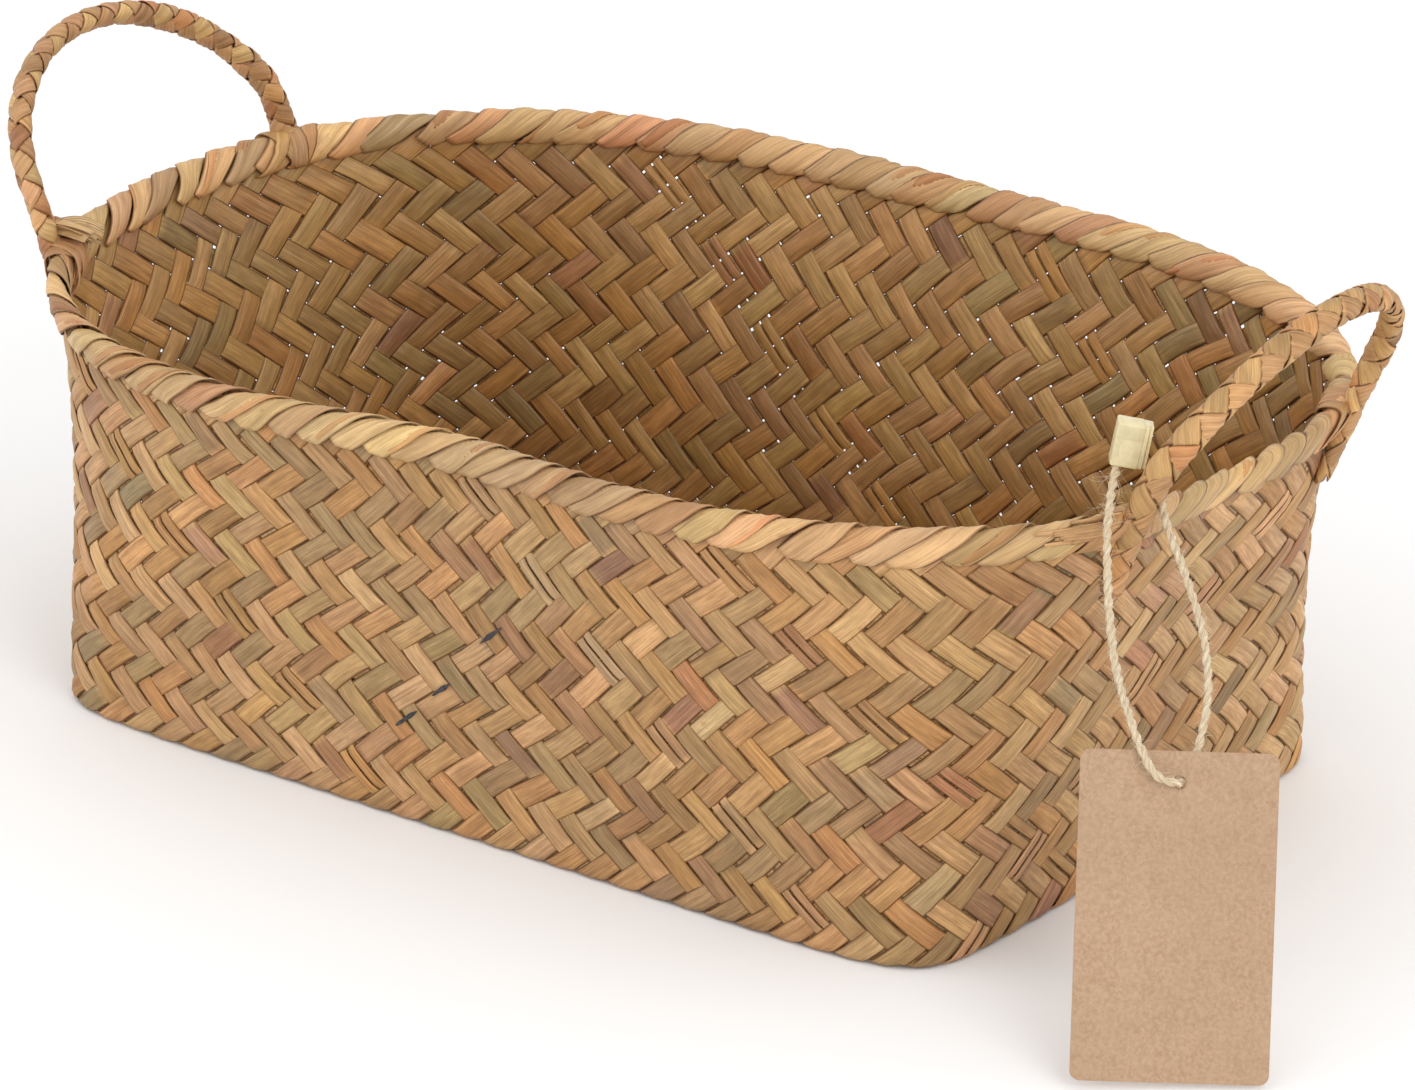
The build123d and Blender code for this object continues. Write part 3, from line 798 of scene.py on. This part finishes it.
for name, deg in (("rf", -20.4), ("rb", 30.2), ("lf", 207.0), ("lb", 155.6)):
    U0 = U_at(deg)
    for j, (du, sl, gr, w) in enumerate(((-.42, .55, 1.5, 5.6), (.40, -.50, 1.7, 5.4), (-.02, .10, 2.1, 5.2), (.15, .9, 2.3, 4.2))):
        tn = np.array([.50, .285, .120])*(1+RNG.normal(0, .04, 3))*(1+RNG.normal(0, .08))
        loop_wrap(lash, U0+du, w, sl, tn, grow=gr, lo=RNG.uniform(0, .06), hi=RNG.uniform(.93, 1), tilt=RNG.uniform(-.2, .3))
# a fan of cut straw ends knotted off inside the left front root
root = np.array([-176.5, -53.0, 119.8])
for k in range(9):
    f = k/8
    yaw = radians(-6+62*f + RNG.normal(0, 4))
    d0 = np.array([cos(yaw), sin(yaw), .16-.55*f])
    d0 = d0/np.linalg.norm(d0)
    L = RNG.uniform(9.0, 15.0)
    u = np.linspace(0, 1, 9)
    P = root + np.array([0, 0, RNG.uniform(-1.0, 2.2)]) + d0*(L*u)[:, None] + np.array([0, 0, -3.2])*(u**2)[:, None]*RNG.uniform(.2, 1)
    side = np.cross(d0, [0, 0, 1.0])
    ribbon(lash, P, np.tile(side+np.array([0, 0, RNG.normal(0, .4)]), (9, 1)), np.linspace(1.6, RNG.uniform(.7, 1.3), 9), .16, np.array([.60, .40, .19])*RNG.uniform(.85, 1.1), curl=.1, wave_amp=.08)
# the same knot's rolled pale end, lying on the rim
for k in range(4):
    u = np.linspace(0, 1, 10)
    P = np.array([-176.6, -51.0, 119.7]) + np.outer(u, [10.0, 6.5, -1.2]) + np.stack([0*u, 0*u, 1.6*np.sin(pi*u)], -1) + np.array([k*.35, -k*.55+1, -k*.5])
    ribbon(lash, P, np.tile([.3*(k-1.5), .4, 1.0], (10, 1)), np.linspace(1.9, 1.3, 10), .2, np.array([.66, .47, .235])*RNG.uniform(.9, 1.05), curl=.45, wave_amp=.08)
# frayed ends lying along the rim beside the right front root
Ur = U_at(-20.4)
for k in range(8):
    u = np.linspace(0, 1, 12)
    L = RNG.uniform(1.1, 2.3)
    q0 = RNG.uniform(-5.2, .6)
    off = 2.1+RNG.uniform(0, .9)+.5*u
    Uk = Ur-.25-L*u
    dz = q0-1.2*u*RNG.uniform(-.6, 1)
    top = dz > -1.0
    off = np.where(top, off-(dz+1.0)*1.6, off)
    P = rim_point(Uk, off, dz)
    nrm = rim_point(Uk, off+1.0, dz)-P
    side = np.tile([0, 0, 1.0], (12, 1))
    ribbon(lash, P, side, np.linspace(1.3, RNG.uniform(.4, .8), 12), .15, np.array([.55, .33, .15])*RNG.uniform(.8, 1.15), curl=.1, N=nrm, wave_amp=.10)
# folded reddish ends under the right front root
for du, z0, z1 in ((.15, -10.5, -16.5), (-.45, -9.5, -15.0), (.7, -9.8, -14.0)):
    u = np.linspace(0, 1, 8)
    Uk = Ur+du+.35*u
    P = rim_point(Uk, .55+.5*np.sin(pi*u), z0+(z1-z0)*u)
    ribbon(lash, P, rim_point(Uk+.5, .6+0*u, z0+(z1-z0)*u+1.5)-rim_point(Uk, .6+0*u, z0+(z1-z0)*u), np.linspace(2.6, 1.7, 8), .2, np.array([.40, .20, .10])*RNG.uniform(.9, 1.1), curl=.2, wave_amp=.15)
lash_ob = lash.build("handle_lashings", mat_braid)
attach(lash_ob, "basket")
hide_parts("lashing_right_front", "lashing_right_back", "lashing_left_front", "lashing_left_back")

# ---------------------------------------------------------------- tag string: two lengths of two-ply jute
FOOT = np.array([235.4, -105.4, 1.8])
ACROSS = np.array([.7903, .6117, -.0362])
UPV = np.array([-.1734, .2798, .9443])
FACE = np.cross(ACROSS, UPV)
HOLE = FOOT + UPV*75.6


def at_hole(a, f, u):
    return tuple(HOLE + ACROSS*a + FACE*f + UPV*u)


A0, A1, PIVOT, A2 = (168.2, -36.2, 130.4), (174.4, -49.2, 123.6), (178.15, -54.35, 117.55), (181.9, -59.5, 111.5)
UPPER = [A0, A1, PIVOT]
LOOP = [PIVOT, A2, (190.8, -70.0, 99.2), (198.4, -77.5, 92.6), (210.2, -88.0, 86.9), (216.2, -90.3, 79.4),
        at_hole(-5.6, 2.8, .9), at_hole(-.4, 3.1, -.3), at_hole(.4, -3.1, .2), at_hole(3.6, -3.6, 4.6),
        (221.6, -74.6, 80.0), (218.3, -66.0, 88.3), (211.9, -58.0, 97.4), (203.5, -50.8, 104.7), (193.4, -44.0, 112.8),
        (185.2, -38.4, 118.4), (178.6, -32.2, 121.9)]


def cord_points(name, pts):
    cu = bpy.data.curves.new(name + "_line", "CURVE")
    cu.dimensions = "3D"
    sp = cu.splines.new("NURBS")
    sp.points.add(len(pts)-1)
    for p, q in zip(sp.points, pts):
        p.co = ((q[0]+OX)*MM, (q[1]+OY)*MM, q[2]*MM, 1)
    sp.order_u = 3
    sp.use_endpoint_u = True
    sp.resolution_u = 14
    ob = bpy.data.objects.new(name + "_line", cu)
    bpy.context.scene.collection.objects.link(ob)
    bpy.context.view_layer.update()
    me = bpy.data.meshes.new_from_object(ob)
    co = np.array([v.co for v in me.vertices], float)
    bpy.data.objects.remove(ob)
    bpy.data.meshes.remove(me)
    return co


def twisted(name, line, material, lay=7.6, ply=.46, rad=.70, seed=1, start=0.0):
    """Two plies wound round the line, in metres. Returns the object."""
    g = np.random.default_rng(seed)
    co = line/MM
    arc = np.concatenate([[0], np.cumsum(np.linalg.norm(np.diff(co, axis=0), axis=1))])
    n = int(arc[-1]/.42)
    aa = np.linspace(0, arc[-1], n)
    P = np.stack([np.interp(aa, arc, co[:, k]) for k in range(3)], -1)
    for _ in range(4):
        P[1:-1] = P[1:-1]*.5+(P[:-2]+P[2:])*.25
    T = unit(np.gradient(P, axis=0))
    X = np.zeros_like(P)
    x = np.cross(T[0], [0, 0, 1.0])
    x = x/np.linalg.norm(x)
    for i in range(n):
        x = x-T[i]*np.dot(x, T[i])
        x = x/np.linalg.norm(x)
        X[i] = x
    Y = np.cross(T, X)
    V, gr, ti, ed, faces = [], [], [], [], []
    M = 10
    ang = np.linspace(0, 2*pi, M, endpoint=False)
    nv = 0
    for k in range(2):
        ph = 2*pi*(aa+start)/lay + pi*k
        C = P + (X*np.cos(ph)[:, None] + Y*np.sin(ph)[:, None])*ply
        Tc = unit(np.gradient(C, axis=0))
        Xc = unit(np.cross(Tc, np.cross(X*np.cos(ph)[:, None] + Y*np.sin(ph)[:, None], Tc)))
        Yc = np.cross(Tc, Xc)
        rr = rad*(1+.09*np.interp(aa, np.linspace(0, aa[-1], 60), g.normal(0, 1, 60)))
        lump = 1+.09*np.sin(ang[None, :]*4 + aa[:, None]*1.1) + g.normal(0, .05, (n, M))
        R = rr[:, None]*lump
        Vk = C[:, None] + Xc[:, None]*(np.cos(ang)*1.0)[None, :, None]*R[..., None] + Yc[:, None]*(np.sin(ang))[None, :, None]*R[..., None]
        V.append(Vk.reshape(-1, 3))
        gr.append(np.stack([np.broadcast_to(aa[:, None], (n, M)), np.broadcast_to(ang[None, :]*.55+aa[:, None]*.25, (n, M)), np.full((n, M), seed*3.1+k*5.7)], -1).reshape(-1, 3))
        idx = nv + np.arange(n*M).reshape(n, M)
        a, b = idx[:-1], idx[1:]
        faces += np.stack([a, np.roll(a, -1, 1), np.roll(b, -1, 1), b], -1).reshape(-1, 4).tolist()
        faces += [idx[0, ::-1].tolist(), idx[-1].tolist()]
        nv += n*M
    me = bpy.data.meshes.new(name)
    me.from_pydata((np.concatenate(V)*MM).tolist(), [], faces)
    me.polygons.foreach_set("use_smooth", np.ones(len(me.polygons), bool))
    at = me.attributes.new("gr", "FLOAT_VECTOR", "POINT")
    at.data.foreach_set("vector", np.concatenate(gr).astype(np.float32).reshape(-1))
    me.update()
    ob = bpy.data.objects.new(name, me)
    bpy.context.scene.collection.objects.link(ob)
    me.materials.append(material)
    return ob, P, X, Y


def hairs(name, P, X, Y, material, count, seed, long=3.2):
    """Loose jute fibres standing off the cord; P in model millimetres."""
    g = np.random.default_rng(seed)
    verts, faces = [], []
    for _ in range(count):
        i = g.integers(2, len(P)-3)
        a = g.uniform(0, 2*pi)
        d0 = X[i]*cos(a) + Y[i]*sin(a)
        T = P[i+1]-P[i]
        T = T/np.linalg.norm(T)
        d = unit(d0*g.uniform(.5, 1) + T*g.choice([-1, 1])*g.uniform(.4, 1.6))
        L = g.uniform(.35, 1.0)*long
        bend = unit(g.normal(0, 1, 3))
        pts = [P[i]+d0*.8]
        for k in range(5):
            d = unit(d+bend*.28)
            pts.append(pts[-1]+d*L/5)
        pts = np.array(pts)
        r = .045
        s = np.cross(pts[-1]-pts[0], [.3, .2, .9])
        s = s/np.linalg.norm(s)
        s2 = np.cross(unit(pts[-1]-pts[0]), s)
        o = len(verts)
        for j, p in enumerate(pts):
            w = r*(1-.5*j/5)
            for c in ((1, 0), (-.5, .87), (-.5, -.87)):
                verts.append(tuple((p+(s*c[0]+s2*c[1])*w)*MM))
        for j in range(5):
            for c in range(3):
                faces.append((o+j*3+c, o+j*3+(c+1) % 3, o+j*3+3+(c+1) % 3, o+j*3+3+c))
        faces.append((o, o+2, o+1))
        faces.append((o+15, o+16, o+17))
    me = bpy.data.meshes.new(name)
    me.from_pydata(verts, [], faces)
    me.update()
    ob = bpy.data.objects.new(name, me)
    bpy.context.scene.collection.objects.link(ob)
    me.materials.append(material)
    return ob


def jute_material():
    m, nt, bs = nodes_of("jute_twine")
    gr = new(nt, "ShaderNodeAttribute", attribute_name="gr")
    sep = new(nt, "ShaderNodeSeparateXYZ")
    nt.links.new(gr.outputs["Vector"], sep.inputs[0])
    cm = new(nt, "ShaderNodeCombineXYZ")
    nt.links.new(math(nt, "MULTIPLY", sep.outputs[0], .5), cm.inputs[0])
    nt.links.new(math(nt, "MULTIPLY", sep.outputs[1], 5.0), cm.inputs[1])
    nt.links.new(sep.outputs[2], cm.inputs[2])
    a = noise(nt, cm.outputs[0], 1.0, 3, .6)
    cm2 = new(nt, "ShaderNodeCombineXYZ")
    nt.links.new(math(nt, "MULTIPLY", sep.outputs[0], .12), cm2.inputs[0])
    nt.links.new(math(nt, "MULTIPLY", sep.outputs[1], .2), cm2.inputs[1])
    nt.links.new(sep.outputs[2], cm2.inputs[2])
    b = noise(nt, cm2.outputs[0], 1.0, 2, .5)
    col = mixc(nt, ramp(nt, a, .3, .7), (.50, .375, .22), (.86, .76, .58))
    col = mixc(nt, math(nt, "MULTIPLY", ramp(nt, b, .3, .7), .4), col, (.66, .50, .31))
    nt.links.new(col, bs.inputs["Base Color"])
    bs.inputs["Roughness"].default_value = .8
    bs.inputs["Specular IOR Level"].default_value = .2
    bp = new(nt, "ShaderNodeBump")
    bp.inputs["Strength"].default_value = .6
    bp.inputs["Distance"].default_value = .0003
    nt.links.new(a, bp.inputs["Height"])
    nt.links.new(bp.outputs[0], bs.inputs["Normal"])
    return m


mat_jute = jute_material()
m_hair, nt_h, bs_h = nodes_of("jute_hair")
bs_h.inputs["Base Color"].default_value = (.74, .62, .44, 1)
bs_h.inputs["Roughness"].default_value = .7

up_line = cord_points("string_upper", UPPER)
loop_line = cord_points("string_loop", LOOP)


def length_of(c):
    return float(np.linalg.norm(np.diff(c, axis=0), axis=1).sum())


up_len, loop_len = length_of(up_line), length_of(loop_line)
print("cord lengths", up_len, loop_len)
up_ob, upP, upX, upY = twisted("jute_string_upper", up_line, mat_jute, seed=3)
loop_ob, loP, loX, loY = twisted("jute_string_loop", loop_line, mat_jute, seed=5, start=up_len/MM)
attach(up_ob, "basket")
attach(loop_ob, "tag")
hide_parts("tag_string_upper")
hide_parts("tag_string_loop")
h1 = hairs("jute_fuzz_upper", upP, upX, upY, m_hair, 90, 11, 3.8)
h2 = hairs("jute_fuzz_loop", loP, loX, loY, m_hair, 520, 12, 3.2)
h3 = hairs("jute_stray_fibres", upP, upX, upY, m_hair, 14, 21, 11.0)
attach(h3, "basket")
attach(h1, "basket")
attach(h2, "tag")

# ---------------------------------------------------------------- kraft swing tag: a slightly bowed card with a punched hole
def card():
    W, Hh, TH, R, HR, DN = 50.0, 83.4, .8, 2.5, 1.9, 7.8
    hc = np.array([0.0, Hh-DN])
    # outline, anticlockwise
    out = []
    for cx, cy, a0 in ((W/2-R, R, -90), (W/2-R, Hh-R, 0), (-W/2+R, Hh-R, 90), (-W/2+R, R, 180)):
        for k in range(7):
            a = radians(a0+k*15)
            out.append((cx+R*cos(a), cy+R*sin(a)))
    import bmesh
    bm = bmesh.new()
    NX, NY = 26, 42
    gx = np.linspace(-W/2+R, W/2-R, NX)
    cu = bpy.data.curves.new("tag_outline", "CURVE")
    cu.dimensions = "2D"
    cu.fill_mode = "BOTH"
    for loop in (out, [(hc[0]+HR*cos(a), hc[1]+HR*sin(a)) for a in np.linspace(0, 2*pi, 32, endpoint=False)]):
        sp = cu.splines.new("POLY")
        sp.points.add(len(loop)-1)
        sp.use_cyclic_u = True
        for p, q in zip(sp.points, loop):
            p.co = (q[0], q[1], 0, 1)
    cu.extrude = TH/2-.12
    cu.bevel_depth = .12
    cu.bevel_resolution = 1
    tmp = bpy.data.objects.new("tag_outline", cu)
    bpy.context.scene.collection.objects.link(tmp)
    bpy.context.view_layer.update()
    me = bpy.data.meshes.new_from_object(tmp)
    bpy.data.objects.remove(tmp)
    bm.from_mesh(me)
    bpy.data.meshes.remove(me)
    # cut it into small facets so that it can bow
    for i in range(1, NX):
        x = -W/2+W*i/NX
        bmesh.ops.bisect_plane(bm, geom=bm.verts[:]+bm.edges[:]+bm.faces[:], plane_co=(x, 0, 0), plane_no=(1, 0, 0))
    for i in range(1, NY):
        y = Hh*i/NY
        bmesh.ops.bisect_plane(bm, geom=bm.verts[:]+bm.edges[:]+bm.faces[:], plane_co=(0, y, 0), plane_no=(0, 1, 0))
    bmesh.ops.remove_doubles(bm, verts=bm.verts, dist=.002)
    for v in bm.verts:
        x, y, z = v.co
        # bevel has pushed the outline out a little: bring it back
        bow = .35*((x/25)**2) + .25*sin(y/Hh*pi*1.1) - .1
        P = FOOT + ACROSS*(x*.995) + UPV*(y*.997+.1) + FACE*(z+bow-.2)
        v.co = Vector(((P[0]+OX)*MM, (P[1]+OY)*MM, P[2]*MM))
    bmesh.ops.recalc_face_normals(bm, faces=bm.faces)
    me = bpy.data.meshes.new("kraft_tag")
    bm.to_mesh(me)
    bm.free()
    ob = bpy.data.objects.new("kraft_tag", me)
    bpy.context.scene.collection.objects.link(ob)
    return ob


m_card, nt, bs = nodes_of("kraft_card")
tc = new(nt, "ShaderNodeTexCoord")
n1 = noise(nt, tc.outputs["Object"], 900.0, 4, .7)
n2 = noise(nt, tc.outputs["Object"], 160.0, 4, .6)
n3 = noise(nt, tc.outputs["Object"], 2600.0, 2, .6)
n4 = noise(nt, tc.outputs["Object"], 28.0, 3, .5)
col = mixc(nt, ramp(nt, n1, .32, .68), (.385, .245, .150), (.50, .335, .215))
col = mixc(nt, math(nt, "MULTIPLY", ramp(nt, n2, .35, .65), .35), col, (.50, .345, .225))
col = mixc(nt, math(nt, "MULTIPLY", ramp(nt, n3, .64, .74), .5), col, (.24, .135, .07))
col = mixc(nt, math(nt, "MULTIPLY", ramp(nt, n4, .35, .70), .22), col, (.37, .24, .15))
nt.links.new(col, bs.inputs["Base Color"])
bs.inputs["Roughness"].default_value = .86
bs.inputs["Specular IOR Level"].default_value = .2
bp = new(nt, "ShaderNodeBump")
bp.inputs["Strength"].default_value = .25
bp.inputs["Distance"].default_value = .0002
nt.links.new(n1, bp.inputs["Height"])
nt.links.new(bp.outputs[0], bs.inputs["Normal"])
tag = card()
tag.data.materials.append(m_card)
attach(tag, "tag")
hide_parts("tag_card")

# ---------------------------------------------------------------- seal clamped on the string's top end
LEAN = radians(11)
SA = np.array([.7906*cos(LEAN), .6124*cos(LEAN), -sin(LEAN)])
SU = np.array([.7906*sin(LEAN), .6124*sin(LEAN), cos(LEAN)])
SF = np.cross(SA, SU)
S0 = np.array(A0) + SA*2.4


def bevelled_block(name, parts, material):
    """parts: (centre across, centre face, centre up, width, depth, height, bevel) in the seal's own directions."""
    import bmesh
    bm = bmesh.new()
    for ca, cf, cu, w, d, h, bv in parts:
        b2 = bmesh.new()
        bmesh.ops.create_cube(b2, size=1.0)
        for v in b2.verts:
            v.co = Vector((v.co.x*w, v.co.y*d, v.co.z*h))
        bmesh.ops.bevel(b2, geom=b2.edges[:], offset=bv, segments=3, profile=.5, affect="EDGES")
        for v in b2.verts:
            P = S0 + SA*(ca+v.co.x) + SF*(cf+v.co.y) + SU*(cu+v.co.z)
            v.co = Vector(((P[0]+OX)*MM, (P[1]+OY)*MM, P[2]*MM))
        tmpm = bpy.data.meshes.new("tmp")
        b2.to_mesh(tmpm)
        b2.free()
        bm.from_mesh(tmpm)
        bpy.data.meshes.remove(tmpm)
    bmesh.ops.recalc_face_normals(bm, faces=bm.faces)
    me = bpy.data.meshes.new(name)
    bm.to_mesh(me)
    bm.free()
    me.polygons.foreach_set("use_smooth", np.ones(len(me.polygons), bool))
    ob = bpy.data.objects.new(name, me)
    bpy.context.scene.collection.objects.link(ob)
    me.materials.append(material)
    return ob


def plastic(name, a, b, rough=.38):
    m, nt, bs = nodes_of(name)
    tc = new(nt, "ShaderNodeTexCoord")
    n1 = noise(nt, tc.outputs["Object"], 420.0, 3, .6)
    n2 = noise(nt, tc.outputs["Object"], 1500.0, 2, .5)
    col = mixc(nt, ramp(nt, n1, .3, .7), a, b)
    nt.links.new(col, bs.inputs["Base Color"])
    nt.links.new(ramp(nt, n2, .3, .7, rough-.05, rough+.08), bs.inputs["Roughness"])
    bs.inputs["Subsurface Weight"].default_value = .12
    bs.inputs["Subsurface Scale"].default_value = .002
    bs.inputs["Subsurface Radius"].default_value = (1.0, .8, .5)
    return m


mat_seal = plastic("cream_plastic", (.70, .59, .33), (.77, .67, .41))
mat_insert = plastic("cream_insert", (.66, .57, .36), (.74, .65, .45))
seal = bevelled_block("seal_block", [(-1.05, 0, 6.0, 7.2, 6.0, 12.0, .55), (3.05, -.15, 5.9, 1.1, 5.4, 11.6, .3), (4.3, -.45, 6.0, .8, 4.6, 11.6, .25),
                                     (-1.05, 2.98, 9.6, 6.6, .12, 3.8, .05), (-3.6, 2.98, 5.2, 1.1, .12, 4.6, .05), (1.2, 2.98, 5.2, 1.4, .12, 4.6, .05)], mat_seal)
ins = bevelled_block("seal_insert_plate", [(3.0, .1, 6.3, 1.9, 3.3, 12.0, .3)], mat_insert)
for o in (seal, ins):
    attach(o, "basket")
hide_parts("seal_body")
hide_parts("seal_insert")

# ---------------------------------------------------------------- floor, light and camera
bpy.ops.mesh.primitive_plane_add(size=8, location=(0, 0, -.0004))
floor = bpy.context.object
floor.name = "studio_floor"
m_floor, nt, bs = nodes_of("studio_floor")
bs.inputs["Base Color"].default_value = (.93, .93, .93, 1)
bs.inputs["Roughness"].default_value = .9
bs.inputs["Specular IOR Level"].default_value = .1
floor.data.materials.append(m_floor)

scene = bpy.context.scene
world = bpy.data.worlds.new("studio")
scene.world = world
world.use_nodes = True
bg = world.node_tree.nodes["Background"]
bg.inputs[0].default_value = (1, 1, 1, 1)
bg.inputs[1].default_value = 1.0
scene.view_settings.view_transform = "Standard"
scene.view_settings.look = "None"
scene.view_settings.exposure = 0.0


def area(name, loc, target, size, power, color=(1, 1, 1)):
    li = bpy.data.lights.new(name, "AREA")
    li.shape = "SQUARE"
    li.size = size
    li.energy = power
    li.color = color
    ob = bpy.data.objects.new(name, li)
    scene.collection.objects.link(ob)
    ob.location = loc
    ob.rotation_euler = (Vector(target)-Vector(loc)).to_track_quat("-Z", "Y").to_euler()
    return ob


area("key", (2.0, -1.0, 1.25), (0, 0, .05), 1.2, 17)
area("left_fill", (-1.6, -1.0, .8), (0, 0, .05), 1.0, 5)
area("top", (-.3, .2, 2.2), (0, 0, .05), 1.2, 1.5)

az, el, roll, dist = radians(37.758), radians(22.685), radians(.14), 2.5866
back = Vector((sin(az)*cos(el), -cos(az)*cos(el), sin(el)))
target = Vector((.00068, -.00904, .05567))
cam_d = bpy.data.cameras.new("camera")
cam = bpy.data.objects.new("camera", cam_d)
scene.collection.objects.link(cam)
cam.location = target + back*dist
right = Vector((cos(az), sin(az), 0))
up = back.cross(right)
from mathutils import Matrix
rot = Matrix((right, up, back)).transposed()
cam.matrix_world = Matrix.Translation(cam.location) @ rot.to_4x4() @ Matrix.Rotation(-roll, 4, "Z")
cam_d.sensor_fit = "HORIZONTAL"
cam_d.sensor_width = 36.0
cam_d.lens = 9577.7/1415*36.0
cam_d.shift_x = (1415/2-681.8)/1415
cam_d.shift_y = -(1090/2-535.1)/1415
cam_d.clip_start = .05
cam_d.clip_end = 50
scene.camera = cam

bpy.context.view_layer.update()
